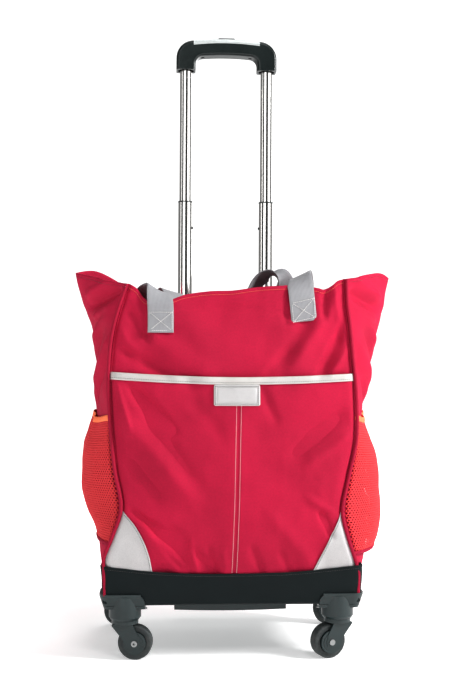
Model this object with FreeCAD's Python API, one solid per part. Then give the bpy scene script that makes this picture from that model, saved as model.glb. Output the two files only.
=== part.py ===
import FreeCAD
import Part
import math
import os

# Four-wheel shopping trolley: an open fabric tote on a stiff base with four swivel casters,
# carried on the back by a three-stage telescopic tube handle with a push-button grip.
#
# Frame: millimetres, +Z up, +X to the right when facing the front of the bag, -Y is the front.
# The origin is on the floor, under the middle of the whole trolley's outline.
# The tubes stand behind the bag, so the bag's middle plane is ahead of the origin: shapes are built
# about that plane and moved by BAG_MID_Y when they are saved.

V = FreeCAD.Vector

# ---------------------------------------------------------------- driving dimensions
# wheels and casters
WHEEL_R = 25.0
TYRE_WIDTH = 18.0
TYRE_ROUND = 3.0
HUB_R = 17.0
HUB_WIDTH = 15.0
HUB_BOSS_R = 6.5
HUB_DISH = 3.0
HUB_BOSS_RIM = 1.5
AXLE_R = 3.0
AXLE_HEAD_R = 4.4
AXLE_KEY_R = 2.0
AXLE_HEAD = 1.6
SWIVEL_INSET_X = 32.0
SWIVEL_INSET_Y = 18.0
TRAIL = 15.5
FORK_PLATE = 4.0
FORK_SIDE_GAP = 1.5
FORK_DISC_R = 19.5
FORK_DISC = 5.4
FORK_COVER_R = 16.5
FORK_COVER_INSET = 1.3
FORK_STEP_RADII = (12.5, 8.5)
FORK_STEP_SLOPE = 0.16
FORK_NECK_X = 17.0
FORK_TOP_GAP = 2.2
CUP_R = 23.5
CUP_LIP_R = 20.6
CUP_LIP = 4.0
SWIVEL_GAP = 0.5
KINGPIN_R = 4.5
KINGPIN_HEAD_R = 6.5
KINGPIN_HEAD = 1.6
BEARING_R = 18.0
BEARING_BORE_R = 11.0
BEARING_H = 6.0
CASTER_TURN = {"front_left": -6.0, "front_right": 199.0, "rear_left": 176.0, "rear_right": -3.0}

# base of the bag
BASE_HALF_X = 188.0
BASE_HALF_Y = 116.0
BASE_CORNER_R = 12.0
BAG_BOTTOM_Z = 80.0
BAND_TOP_Z = 131.0
BAND_WALL = 2.2
BOARD = 4.0
CORNER_TOP_Z = 97.0
CORNER_PROUD = 5.0
CORNER_FLOOR = 5.0
CORNER_LOBE_X = 66.0
CORNER_LOBE_Y = 62.0
CORNER_LOBE_R = 14.0
CORNER_TUCK = 6.5
CORNER_SCREW_X = 10.0
CORNER_SCREW_Y = 6.0
CORNER_SCREW_GAP = 5.0
TRAY_HALF_X = 84.0
TRAY_FRONT_INSET = 46.0
TRAY_REAR_INSET = 20.0
TRAY_BOTTOM_Z = 62.0
TRAY_BOW = 8.0
TRAY_WALL = 3.0
TRAY_SCREW_INSET = 14.0
TRAY_SCREW_FRONT = 24.0
TRAY_POST_WALL = 2.0
SCREW_R = 2.0
SCREW_HEAD_R = 4.0
SCREW_HEAD = 1.5

# bag: height, then how far the corner cords, the side fold, the front and the rear stand beyond the base
BAG_SHAPE = [
    (131.5, -3.5, 11.0, -1.5, -1.5),
    (175.0, -14.0, 18.0, 0.5, -1.5),
    (219.0, -28.0, 19.0, 1.0, -2.0),
    (290.0, -15.0, 16.0, -0.5, -2.5),
    (350.0, -8.5, 14.5, -4.0, -3.0),
    (415.0, -8.0, 25.0, -9.0, -3.5),
    (480.0, -13.0, 34.5, -16.0, -7.0),
    (545.0, -25.0, 53.0, -24.0, -16.0),
]
WING_TOP_Z = 573.0
WING_OUT = 57.0
FABRIC = 2.0
SEAM_GAP = 0.3
SNUG = 0.05
BORE_PLAY = 0.1
TINY = 0.01
FAR = 2000.0
CORD_R = 2.2
CORD_SIDES = 8

# pocket on the front, and what is sewn to it
POCKET_TOP_Z = 408.0
POCKET_FABRIC = 1.6
BINDING_H = 10.0
BINDING = 1.4
LABEL_W = 67.0
LABEL_H = 30.0
LABEL_X = 2.0
LABEL = 1.6
PATCH_TOP_Z = 214.0
PATCH_WIDTH = 62.0
PATCH_EDGE = 5.0
PATCH = 1.0

# mesh side pockets: height, then how far the fold and the shoulders stand beyond the base
MESH_SHAPE = [
    (190.0, 25.0, 20.5),
    (228.0, 39.0, 28.0),
    (300.0, 38.0, 27.0),
    (352.0, 22.0, 18.0),
]
MESH_LOW_Z = 163.0
MESH_FABRIC = 1.2
MESH_SHOULDER_INSET = 64.0
MESH_EDGE_INSET = 15.0

# carry straps
STRAP_W = 38.0
STRAP = 2.2
STRAP_BEZEL_GAP = 1.1
STRAP_LOW_Z = 476.0
FRONT_STRAP_RISE = 4.0
REAR_STRAP_RISE = 22.0
STRAP_INSIDE = 10.0
STRAP_DROP = 43.0

# cloth sleeve and foot of the outer tubes
SLEEVE_SLOPE = 7.0
SLEEVE_FOLD = 0.4
FOOT_ROUND = 8.0

# telescopic handle
TUBE_X = 67.5
TUBE_GAP = 1.8
TUBE_WALL = 0.9
UPPER_R = 9.8
MIDDLE_R = 11.5
OUTER_R = 13.2
SLIDE_FIT = 0.15
PLUG_FIT = 0.3
UPPER_TRAVEL = 215.0
MIDDLE_TRAVEL = 168.0
OUTER_TOP_Z = 478.0
OUTER_FOOT_Z = 72.0
MIDDLE_TOP_Z = 697.0
MIDDLE_LOW_Z = 397.0
UPPER_LOW_Z = 643.0
BUSH_FLANGE = 2.0
BUSH_RIM = 0.4
STOP_GAP = 0.3
PLUG_H = 18.0
PLUG_NECK = 8.0
PLUG_FLOOR = 4.0
PIN_R = 2.2
PIN_BACK_R = 4.2
NUB_R = 2.0
NUB_Z = 655.0
NUB_PROUD = 1.5
ROD_R = 2.3
ROD_FIT = 0.4
BEZEL_H = 23.0
BEZEL_WALL = 2.2
BEZEL_ROUND = 9.0
SLEEVE_BORDER = 24.5
SLEEVE_WALL = 1.8
FOOT_BORDER = 18.5
FOOT_TOP_Z = 101.0
FOOT_BOTTOM_Z = 66.0
FOOT_WALL = 2.6

# grip
SOCKET_R = 16.0
SOCKET_LOW_Z = 917.0
SOCKET_DEPTH = 22.0
GRIP_TOP_Z = 969.0
GRIP_ARCH_X = 58.0
GRIP_ARCH_RISE = 3.5
GRIP_BAR_LOW_Z = 942.0
GRIP_INNER_TURN = 12.0
GRIP_HALF_Y = 15.0
GRIP_ROUND = 5.0
COVER = 8.0
COVER_HALF_X = 55.0
BUTTON_HALF_X = 13.5
BUTTON_HALF_Y = 6.5
BUTTON_PROUD = 3.0
BUTTON_TRAVEL = 3.5
BUTTON_GAP = 0.3
ROD_BAR_Z = 952.0
ROD_BAR = 4.0
ROD_BAR_HALF_Y = 3.5
GRIP_SCREW_X = 40.0
GRIP_SCREW_R = 1.4
GRIP_SCREW_HEAD_R = 3.0
GRIP_SCREW_SINK = 2.0
GRIP_SCREW_TIP = 5.2
SPRING_R = 4.0
SPRING_WIRE_R = 0.5
SPRING_TURNS = 3.0
SPRING_FLOOR = 2.5
CHANNEL_PLAY = 0.6
SOCKET_LIP = 2.5
SOCKET_LIP_H = 3.0
BUTTON_ROUND = 1.6

SIDES = {"left": -1.0, "right": 1.0}
CORNERS = {
    "front_left": (-1.0, -1.0),
    "front_right": (1.0, -1.0),
    "rear_left": (-1.0, 1.0),
    "rear_right": (1.0, 1.0),
}

# values that follow from the ones above
SWIVEL_X = BASE_HALF_X - SWIVEL_INSET_X
SWIVEL_Y = BASE_HALF_Y - SWIVEL_INSET_Y
TRAY_FRONT_Y = TRAY_FRONT_INSET - BASE_HALF_Y
TRAY_REAR_Y = BASE_HALF_Y - TRAY_REAR_INSET
BAG_LEVELS = [
    (z, BASE_HALF_X + cord, BASE_HALF_X + fold, BASE_HALF_Y + front, BASE_HALF_Y + rear)
    for z, cord, fold, front, rear in BAG_SHAPE
]
WING_HALF_X = BASE_HALF_X + WING_OUT
MESH_LEVELS = [(z, BASE_HALF_X + fold, BASE_HALF_X + shoulder) for z, fold, shoulder in MESH_SHAPE]
MESH_SHOULDER_Y = BASE_HALF_Y - MESH_SHOULDER_INSET
MESH_EDGE_Y = BASE_HALF_Y - MESH_EDGE_INSET
TUBE_Y = BASE_HALF_Y + TUBE_GAP + OUTER_R
STRAP_X = TUBE_X + OUTER_R + BEZEL_WALL + STRAP_BEZEL_GAP + STRAP_W / 2
SLEEVE_HALF_X = TUBE_X + SLEEVE_BORDER
FOOT_HALF_X = TUBE_X + FOOT_BORDER
REAR_EXTENT = TUBE_Y + OUTER_R + FOOT_WALL
FRONT_EXTENT = BASE_HALF_Y + CORNER_PROUD
BAG_MID_Y = (FRONT_EXTENT - REAR_EXTENT) / 2
MIDDLE_BORE_R = MIDDLE_R - TUBE_WALL
OUTER_BORE_R = OUTER_R - TUBE_WALL
UPPER_BORE_R = UPPER_R - TUBE_WALL
FORK_INNER = TYRE_WIDTH / 2 + FORK_SIDE_GAP
FORK_OUTER = FORK_INNER + FORK_PLATE
FORK_LOW_Z = 2 * WHEEL_R + FORK_TOP_GAP
FORK_TOP_Z = FORK_LOW_Z + FORK_DISC
CUP_LOW_Z = FORK_TOP_Z + SWIVEL_GAP
BAND_IN_X = BASE_HALF_X - BAND_WALL
BAND_IN_Y = BASE_HALF_Y - BAND_WALL
TRAY_SCREW_Z = TRAY_BOTTOM_Z + SCREW_HEAD + 0.3
GUSSET_EDGE = 1.5 * CORD_R + SEAM_GAP
UPPER_PLUG_TOP_Z = UPPER_LOW_Z - SLIDE_FIT
MIDDLE_PLUG_TOP_Z = MIDDLE_LOW_Z - SLIDE_FIT


# ---------------------------------------------------------------- small helpers
def block(x0, x1, y0, y1, z0, z1):
    """A box between two corners."""
    return Part.makeBox(x1 - x0, y1 - y0, z1 - z0, V(x0, y0, z0))


def rod(radius, x, y, z0, z1):
    """An upright cylinder."""
    return Part.makeCylinder(radius, z1 - z0, V(x, y, z0))


def ring(outer, inner, x, y, z0, z1):
    """An upright tube."""
    return rod(outer, x, y, z0, z1).cut(rod(inner, x, y, z0 - 1, z1 + 1))


def bar_y(radius, x, z, y0, y1):
    """A cylinder along Y."""
    return Part.makeCylinder(radius, y1 - y0, V(x, y0, z), V(0, 1, 0))


def bar_x(radius, y, z, x0, x1):
    """A cylinder along X, between two X values in either order."""
    return Part.makeCylinder(radius, abs(x1 - x0), V(min(x0, x1), y, z), V(1, 0, 0))


def polygon(points):
    """A closed wire through the points."""
    return Part.makePolygon([V(*p) for p in points] + [V(*points[0])])


def prism(points, travel):
    """A flat polygon pushed along a vector."""
    return Part.Face(polygon(points)).extrude(V(*travel))


def stack(sections):
    """A solid through closed polygons with the same number of corners, with straight sides between them."""
    return Part.makeLoft([polygon(s) for s in sections], True, True)


def rounded_rectangle(half_x, half_y, radius, z):
    """A closed wire: a rectangle with round corners, about the Z axis."""
    a, b, k = half_x - radius, half_y - radius, radius * math.sqrt(0.5)
    edges = []
    for sx, sy in ((1, -1), (1, 1), (-1, 1), (-1, -1)):
        start, end = V(sx * a, sy * half_y, z), V(sx * half_x, sy * b, z)
        if sx != -sy:
            start, end = end, start
        edges.append(Part.Arc(start, V(sx * (a + k), sy * (b + k), z), end).toShape())
    joined = []
    for i, arc in enumerate(edges):
        joined.append(arc)
        after = edges[(i + 1) % len(edges)]
        joined.append(Part.LineSegment(arc.lastVertex(True).Point, after.firstVertex(True).Point).toShape())
    return Part.Wire(joined)


def rounded_slab(half_x, half_y, radius, z0, z1):
    """An upright slab with round corners."""
    return Part.Face(rounded_rectangle(half_x, half_y, radius, z0)).extrude(V(0, 0, z1 - z0))


def group(shapes):
    """Several separate solids in one node."""
    solids = [s for shape in shapes for s in shape.Solids]
    return Part.makeCompound(solids)


def one_solid(shape):
    """The shape as its own solid, with leftover seams removed."""
    return shape.removeSplitter()


def save(name, shape):
    moved = shape.copy()
    moved.translate(V(0, BAG_MID_Y, 0))
    moved.exportStep(os.path.join("parts", name + ".step"))


def between(levels, z):
    """The row of a table of levels at height z, between its neighbours in a straight line."""
    for low, high in zip(levels, levels[1:]):
        if z <= high[0] or high is levels[-1]:
            t = (z - low[0]) / (high[0] - low[0])
            return tuple(a + (b - a) * t for a, b in zip(low, high))


# ---------------------------------------------------------------- casters
def turned(shape, corner):
    """A caster part, built about the Z axis with its wheel towards +X, put in its corner at its rest turn."""
    sx, sy = CORNERS[corner]
    placed = shape.copy()
    placed.rotate(V(0, 0, 0), V(0, 0, 1), CASTER_TURN[corner])
    placed.translate(V(sx * SWIVEL_X, sy * SWIVEL_Y, 0))
    return placed


def make_tyre():
    tyre = bar_y(WHEEL_R, TRAIL, WHEEL_R, -TYRE_WIDTH / 2, TYRE_WIDTH / 2)
    rims = [e for e in tyre.Edges if isinstance(e.Curve, Part.Circle)]
    tyre = tyre.makeFillet(TYRE_ROUND, rims)
    return tyre.cut(bar_y(HUB_R + SNUG, TRAIL, WHEEL_R, -TYRE_WIDTH, TYRE_WIDTH))


def make_hub():
    """A disc with a groove in each face, and a boss that runs up to the fork."""
    reach = FORK_INNER - BUTTON_GAP
    hub = bar_y(HUB_R, TRAIL, WHEEL_R, -HUB_WIDTH / 2, HUB_WIDTH / 2)
    hub = hub.fuse(bar_y(HUB_BOSS_R, TRAIL, WHEEL_R, -reach, reach))
    dish = bar_y(HUB_R - HUB_DISH, TRAIL, WHEEL_R, HUB_WIDTH / 2 - HUB_DISH, HUB_WIDTH)
    dish = dish.cut(bar_y(HUB_BOSS_R + HUB_BOSS_RIM, TRAIL, WHEEL_R, 0, HUB_WIDTH + 1))
    hub = hub.cut(dish).cut(dish.mirror(V(0, 0, 0), V(0, 1, 0)))
    return one_solid(hub.cut(bar_y(AXLE_R + BORE_PLAY, TRAIL, WHEEL_R, -TYRE_WIDTH, TYRE_WIDTH)))


def make_axle():
    """A shaft with a round head at each end, one of them with a hexagon socket."""
    axle = bar_y(AXLE_R, TRAIL, WHEEL_R, -FORK_OUTER, FORK_OUTER)
    for side in (-1, 1):
        inner, outer = side * (FORK_OUTER + 0.05), side * (FORK_OUTER + AXLE_HEAD)
        axle = axle.fuse(bar_y(AXLE_HEAD_R, TRAIL, WHEEL_R, min(inner, outer), max(inner, outer)))
        axle = axle.fuse(bar_y(AXLE_R, TRAIL, WHEEL_R, min(0, outer), max(0, outer)))
    socket = []
    for i in range(6):
        turn = math.radians(60 * i)
        x, z = TRAIL + AXLE_KEY_R * math.cos(turn), WHEEL_R + AXLE_KEY_R * math.sin(turn)
        socket.append((x, -FORK_OUTER - AXLE_HEAD - 1, z))
    return one_solid(axle.cut(prism(socket, (0, AXLE_HEAD + 2.5, 0))))


def make_fork():
    """The swivel disc, a neck inside the bearing, and two slanting arms that end in round covers."""
    fork = rod(FORK_DISC_R, 0, 0, FORK_LOW_Z, FORK_TOP_Z)
    neck_top = CUP_LOW_Z + BEARING_H - 1.0
    fork = fork.fuse(rod(BEARING_BORE_R - BUTTON_GAP, 0, 0, FORK_TOP_Z - 1, neck_top))
    arm = [
        (-FORK_NECK_X, 0, FORK_TOP_Z - 1),
        (-FORK_NECK_X - 0.5, 0, FORK_LOW_Z - 2),
        (TRAIL - 15.0, 0, WHEEL_R + 3.0),
        (TRAIL - 9.0, 0, WHEEL_R - 8.0),
        (TRAIL + 8.0, 0, WHEEL_R - 6.0),
        (TRAIL + 6.5, 0, WHEEL_R + 10.0),
        (TRAIL - 2.5, 0, FORK_LOW_Z - 1),
        (TRAIL - 2.0, 0, FORK_TOP_Z - 1),
    ]
    for side in (-1, 1):
        inner, outer = side * FORK_INNER, side * FORK_OUTER
        cover_face = side * (FORK_OUTER - FORK_COVER_INSET)
        cover = bar_y(FORK_COVER_R, TRAIL, WHEEL_R, min(inner, cover_face), max(inner, cover_face))
        for step_r in FORK_STEP_RADII:
            step = side * (FORK_OUTER - FORK_COVER_INSET + (FORK_COVER_R - step_r) * FORK_STEP_SLOPE)
            cover = cover.fuse(bar_y(step_r, TRAIL, WHEEL_R, min(inner, step), max(inner, step)))
        plate = prism([(x, inner, z) for x, _, z in arm], (0, outer - inner, 0))
        fork = fork.fuse(cover).fuse(plate)
    # the arms stay inside the swivel disc where they join it
    outside_disc = block(-FAR, FAR, -FAR, FAR, FORK_LOW_Z, FORK_TOP_Z + BORE_PLAY)
    outside_disc = outside_disc.cut(rod(FORK_DISC_R, 0, 0, 0, FAR))
    fork = fork.cut(outside_disc)
    fork = fork.cut(bar_y(AXLE_R + SNUG, TRAIL, WHEEL_R, -FAR, FAR))
    return one_solid(fork.cut(rod(KINGPIN_R + BORE_PLAY, 0, 0, 0, FAR)))


def make_kingpin():
    """The pin that a fork turns on, riveted under the swivel disc and held in its corner housing."""
    head_top = FORK_LOW_Z - BUTTON_GAP
    pin = rod(KINGPIN_R, 0, 0, head_top - KINGPIN_HEAD, BAG_BOTTOM_Z - CORNER_FLOOR + 1.0)
    return one_solid(pin.fuse(rod(KINGPIN_HEAD_R, 0, 0, head_top - KINGPIN_HEAD, head_top)))


def make_bearing():
    low = CUP_LOW_Z + 0.3
    return ring(BEARING_R, BEARING_BORE_R, 0, 0, low, low + BEARING_H)


def make_corner_housing(corner):
    """A plastic corner that wraps the base of the bag, with the caster's cup moulded under it."""
    sx, sy = CORNERS[corner]
    low = BAG_BOTTOM_Z - CORNER_FLOOR
    wide_x, wide_y = BASE_HALF_X + CORNER_PROUD, BASE_HALF_Y + CORNER_PROUD
    ledge_z = CORNER_TOP_Z - 3.0
    radius = BASE_CORNER_R + CORNER_PROUD
    skirt = Part.makeLoft(
        [
            rounded_rectangle(wide_x - CORNER_TUCK, wide_y - CORNER_TUCK, radius - CORNER_TUCK, low),
            rounded_rectangle(wide_x, wide_y, radius, ledge_z),
        ],
        True,
        True,
    )
    skirt = skirt.fuse(rounded_slab(wide_x, wide_y, radius, ledge_z, CORNER_TOP_Z))
    reach_x, reach_y = wide_x + 1, wide_y + 1
    start_x, start_y = wide_x - CORNER_LOBE_X, wide_y - CORNER_LOBE_Y
    lobe_front = block(start_x, reach_x, SWIVEL_Y - CUP_R, reach_y, low, CORNER_TOP_Z)
    lobe_side = block(SWIVEL_X - CUP_R, reach_x, start_y, reach_y, low, CORNER_TOP_Z)
    bend_x, bend_y, bend_z = start_x + CORNER_LOBE_R, start_y + CORNER_LOBE_R, CORNER_TOP_Z - CORNER_LOBE_R
    cut_front = block(start_x, bend_x, 0, reach_y + 1, bend_z, CORNER_TOP_Z + 1)
    cut_front = cut_front.cut(bar_y(CORNER_LOBE_R, bend_x, bend_z, -1, reach_y + 2))
    cut_side = block(0, reach_x + 1, start_y, bend_y, bend_z, CORNER_TOP_Z + 1)
    cut_side = cut_side.cut(bar_x(CORNER_LOBE_R, bend_y, bend_z, -1, reach_x + 2))
    mask = lobe_front.cut(cut_front).fuse(lobe_side.cut(cut_side))
    body = skirt.common(mask)
    cup = rod(CUP_R, SWIVEL_X, SWIVEL_Y, CUP_LOW_Z + CUP_LIP, CORNER_TOP_Z - 4.0)
    lip = Part.makeCone(CUP_LIP_R, CUP_R, CUP_LIP, V(SWIVEL_X, SWIVEL_Y, CUP_LOW_Z))
    body = body.fuse(cup).fuse(lip)
    bag = rounded_slab(
        BASE_HALF_X + SEAM_GAP, BASE_HALF_Y + SEAM_GAP, BASE_CORNER_R + SEAM_GAP, BAG_BOTTOM_Z - SEAM_GAP, 200
    )
    pocket = rod(BEARING_R + 0.2, SWIVEL_X, SWIVEL_Y, CUP_LOW_Z - 1, CUP_LOW_Z + 0.3 + BEARING_H)
    body = body.cut(bag).cut(pocket).cut(rod(KINGPIN_R + SNUG, SWIVEL_X, SWIVEL_Y, 0, 200))
    for x, y in corner_screw_places():
        body = body.cut(rod(SCREW_R + SNUG, x, y, 0, 200))
    body = one_solid(body)
    if sx < 0:
        body = body.mirror(V(0, 0, 0), V(1, 0, 0))
    if sy < 0:
        body = body.mirror(V(0, 0, 0), V(0, 1, 0))
    return body


def corner_screw_places():
    """Where two screws hold a corner housing up to the base board, in the right rear corner."""
    clear = CUP_R + CORNER_SCREW_GAP
    return [(SWIVEL_X - clear, SWIVEL_Y + CORNER_SCREW_Y), (SWIVEL_X + CORNER_SCREW_X, SWIVEL_Y - clear)]


def save_casters():
    pivots = []
    for corner in CORNERS:
        save("caster_housing_" + corner, make_corner_housing(corner))
        save("fork_" + corner, turned(make_fork(), corner))
        save("axle_" + corner, turned(make_axle(), corner))
        save("hub_" + corner, turned(make_hub(), corner))
        save("tyre_" + corner, turned(make_tyre(), corner))
        pivots += [turned(make_kingpin(), corner), turned(make_bearing(), corner)]
    save("swivel_pivots", group(pivots))


# ---------------------------------------------------------------- base
def base_screw_places():
    """Every screw in the base with the height its head pulls up against, for the housings and the tray."""
    places = []
    for sx, sy in CORNERS.values():
        places += [(sx * x, sy * y, BAG_BOTTOM_Z - CORNER_FLOOR) for x, y in corner_screw_places()]
        y = TRAY_REAR_Y - TRAY_SCREW_INSET if sy > 0 else TRAY_FRONT_Y + TRAY_SCREW_FRONT
        places.append((sx * (TRAY_HALF_X - TRAY_SCREW_INSET), y, TRAY_SCREW_Z))
    return places


def make_base_screws():
    screws = []
    for x, y, low in base_screw_places():
        shank = rod(SCREW_R, x, y, low - 0.5, BAG_BOTTOM_Z + BAND_WALL + BOARD)
        screws.append(one_solid(shank.fuse(rod(SCREW_HEAD_R, x, y, low - SCREW_HEAD, low))))
    return group(screws)


def with_screw_holes(shape):
    for x, y, _ in base_screw_places():
        shape = shape.cut(rod(SCREW_R + SNUG, x, y, 0, FAR))
    return shape


def make_base_band():
    """The dark fabric tray at the foot of the bag: a floor and a low wall all round."""
    outer = rounded_slab(BASE_HALF_X, BASE_HALF_Y, BASE_CORNER_R, BAG_BOTTOM_Z, BAND_TOP_Z)
    inner_r = BASE_CORNER_R - BAND_WALL
    inner = rounded_slab(BAND_IN_X, BAND_IN_Y, inner_r, BAG_BOTTOM_Z + BAND_WALL, BAND_TOP_Z + 1)
    return with_screw_holes(outer.cut(inner))


def make_base_board():
    low = BAG_BOTTOM_Z + BAND_WALL + SEAM_GAP
    gap = SEAM_GAP
    return with_screw_holes(
        rounded_slab(BAND_IN_X - gap, BAND_IN_Y - gap, BASE_CORNER_R - BAND_WALL - gap, low, low + BOARD)
    )


def tray_outline(inset, z0, z1):
    """The tray's plan, with a front edge that bows forward in an arc."""
    x, rear = TRAY_HALF_X - inset, TRAY_REAR_Y - inset
    side, nose = TRAY_FRONT_Y + TRAY_BOW + inset, TRAY_FRONT_Y + inset
    edges = [
        Part.Arc(V(-x, side, z0), V(0, nose, z0), V(x, side, z0)).toShape(),
        Part.LineSegment(V(x, side, z0), V(x, rear, z0)).toShape(),
        Part.LineSegment(V(x, rear, z0), V(-x, rear, z0)).toShape(),
        Part.LineSegment(V(-x, rear, z0), V(-x, side, z0)).toShape(),
    ]
    return Part.Face(Part.Wire(edges)).extrude(V(0, 0, z1 - z0))


def make_base_tray():
    """A shallow skid under the bag: a flat sole, side walls, and a post round each of its screws."""
    top = BAG_BOTTOM_Z - SEAM_GAP
    tray = tray_outline(0, TRAY_BOTTOM_Z, top)
    tray = tray.cut(tray_outline(TRAY_WALL, TRAY_BOTTOM_Z + TRAY_WALL, top + 1))
    for x, y, low in base_screw_places():
        if low == TRAY_SCREW_Z:
            tray = tray.fuse(rod(SCREW_HEAD_R + TRAY_POST_WALL, x, y, TRAY_BOTTOM_Z + 1, top))
            tray = tray.cut(rod(SCREW_R + SNUG, x, y, 0, FAR))
            tray = tray.cut(rod(SCREW_HEAD_R + BORE_PLAY, x, y, 0, low))
    return one_solid(tray)


def make_tube_foot():
    """The moulding behind the bag that holds the outer tubes' lower ends, with a tongue under the base."""
    rear = TUBE_Y + OUTER_R + FOOT_WALL
    behind = BASE_HALF_Y + SEAM_GAP
    foot = block(-FOOT_HALF_X, FOOT_HALF_X, behind, rear, FOOT_BOTTOM_Z, FOOT_TOP_Z)
    upright = [e for e in foot.Edges if abs(e.BoundBox.XLength) < TINY and abs(e.BoundBox.YLength) < TINY]
    rear_edges = [e for e in upright if e.BoundBox.YMax > rear - TINY]
    foot = foot.makeFillet(FOOT_ROUND, rear_edges)
    tongue_y, tongue_z = TRAY_REAR_Y + SEAM_GAP, BAG_BOTTOM_Z - SEAM_GAP
    tongue = block(-FOOT_HALF_X, FOOT_HALF_X, tongue_y, behind + 1, FOOT_BOTTOM_Z, tongue_z)
    foot = foot.fuse(tongue)
    for side in SIDES.values():
        foot = foot.cut(rod(OUTER_R + SNUG, side * TUBE_X, TUBE_Y, OUTER_FOOT_Z, FOOT_TOP_Z + 1))
    return one_solid(foot)


# ---------------------------------------------------------------- bag
def front_section(z, out=0.0, inset=0.0, thick=FABRIC):
    """A flat strip of the front face at height z: out is how far it stands proud of the bag's cloth."""
    _, cord_x, _, front, _ = between(BAG_LEVELS, z)
    x = cord_x - CORD_R - SEAM_GAP - inset
    near = -front - out
    return [(-x, near, z), (x, near, z), (x, near + thick, z), (-x, near + thick, z)]


def rear_section(z):
    _, cord_x, _, _, rear = between(BAG_LEVELS, z)
    x = cord_x - CORD_R - SEAM_GAP
    return [(-x, rear, z), (x, rear, z), (x, rear - FABRIC, z), (-x, rear - FABRIC, z)]


def level_heights(low, high):
    """The heights of a panel's sections: its two ends, and each level of the bag between them."""
    return [low] + [row[0] for row in BAG_LEVELS if low + 1 < row[0] < high - 1] + [high]


def make_front_panel():
    return stack([front_section(z) for z in level_heights(BAG_LEVELS[0][0], BAG_LEVELS[-1][0])])


def make_back_panel():
    return stack([rear_section(z) for z in level_heights(BAG_LEVELS[0][0], BAG_LEVELS[-1][0])])


def gusset_section(z, cord_x, fold_x, front, rear):
    """One side of the bag at height z: a shallow V, its fold outwards and its ends at the cords."""
    fold_y = (rear - front) / 2
    y0, y1 = GUSSET_EDGE - front, rear - GUSSET_EDGE
    outer = [(cord_x, y0, z), (fold_x, fold_y, z), (cord_x, y1, z)]
    return outer + [(x - FABRIC, y, z) for x, y, z in reversed(outer)]


def make_gusset(side):
    """A side of the bag, cut off along a slope that rises from the corner seams to the wing's tip."""
    rim_z, cord_x, _, front, rear = BAG_LEVELS[-1]
    rows = BAG_LEVELS + [(WING_TOP_Z, cord_x, WING_HALF_X, front, rear)]
    gusset = stack([gusset_section(*row) for row in rows])
    far_x, far_z = WING_HALF_X + 5.0, WING_TOP_Z + (WING_TOP_Z - rim_z) * 5.0 / (WING_HALF_X - cord_x)
    near_x, high_z = cord_x - 5.0, far_z + 9.0
    slope = [(near_x, rim_z), (cord_x, rim_z), (far_x, far_z), (far_x, high_z), (near_x, high_z)]
    gusset = gusset.cut(prism([(x, -front, z) for x, z in slope], (0, front + rear, 0)))
    return gusset if side > 0 else gusset.mirror(V(0, 0, 0), V(1, 0, 0))


def gusset_face(z, y):
    """The outer X of the right gusset's cloth at a height and a distance from its fold."""
    _, cord_x, fold_x, front, rear = between(BAG_LEVELS, z)
    fold_y = (rear - front) / 2
    end_y = GUSSET_EDGE - front if y < fold_y else rear - GUSSET_EDGE
    return fold_x + (cord_x - fold_x) * (y - fold_y) / (end_y - fold_y)


def cord_centre(z, front):
    """Where a right-hand corner cord runs at height z: over the band's round corner, then up the seam."""
    turn = BASE_CORNER_R * (1 - math.sqrt(0.5)) - (CORD_R + SEAM_GAP) * math.sqrt(0.5)
    if z <= BAND_TOP_Z:
        x, y = BASE_HALF_X - turn, BASE_HALF_Y - turn
    else:
        _, x, _, ahead, behind = between(BAG_LEVELS, z)
        y = (ahead if front else behind) - CORD_R / 2
    return x, -y if front else y


def make_corner_cords():
    """The four piping cords that finish the upright seams."""
    cords = []
    heights = [CORNER_TOP_Z + SEAM_GAP, BAND_TOP_Z + 1.0] + [row[0] for row in BAG_LEVELS[1:]]
    for side in SIDES.values():
        for front in (True, False):
            sections = []
            for z in heights:
                x, y = cord_centre(z if z > BAND_TOP_Z + 2 else BAND_TOP_Z, front)
                sections.append(
                    [
                        (
                            side * x + CORD_R * math.cos(2 * math.pi * i / CORD_SIDES),
                            y + CORD_R * math.sin(2 * math.pi * i / CORD_SIDES),
                            z,
                        )
                        for i in range(CORD_SIDES)
                    ]
                )
            cords.append(stack(sections))
    return group(cords)


POCKET_OUT = POCKET_FABRIC + 0.4
TRIM_OUT = POCKET_OUT + 0.2


def make_front_pocket():
    heights = level_heights(BAND_TOP_Z + 1.0, POCKET_TOP_Z)
    return stack([front_section(z, POCKET_OUT, 1.0, POCKET_FABRIC) for z in heights])


def make_pocket_binding():
    low = POCKET_TOP_Z - BINDING_H + 2.0
    return stack([front_section(z, TRIM_OUT + BINDING, 1.0, BINDING) for z in (low, POCKET_TOP_Z + 2.0)])


def make_label_patch():
    top = POCKET_TOP_Z - BINDING_H + 2.0 - SEAM_GAP
    sections = []
    for z in (top - LABEL_H, top):
        front = between(BAG_LEVELS, z)[3]
        face, back = -front - TRIM_OUT - LABEL, -front - TRIM_OUT
        x0, x1 = LABEL_X - LABEL_W / 2, LABEL_X + LABEL_W / 2
        sections.append([(x0, face, z), (x1, face, z), (x1, back, z), (x0, back, z)])
    return stack(sections)


def make_corner_patches():
    """A pale panel in each lower corner of the pocket; its curved inner edge is a few straight runs."""
    patches = []
    for side in SIDES.values():
        sections = []
        low = BAND_TOP_Z + 1.0
        for z in level_heights(low, PATCH_TOP_Z):
            _, cord_x, _, front, _ = between(BAG_LEVELS, z)
            rise = (z - low) / (PATCH_TOP_Z - low)
            width = PATCH_EDGE + (PATCH_WIDTH - PATCH_EDGE) * math.sqrt(max(0.0, 1 - rise**1.7))
            outer = cord_x - CORD_R - SEAM_GAP - 1.5
            face, back = -front - TRIM_OUT - PATCH, -front - TRIM_OUT
            x0, x1 = side * (outer - width), side * outer
            sections.append([(x0, face, z), (x1, face, z), (x1, back, z), (x0, back, z)])
        patches.append(stack(sections))
    return group(patches)


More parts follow.
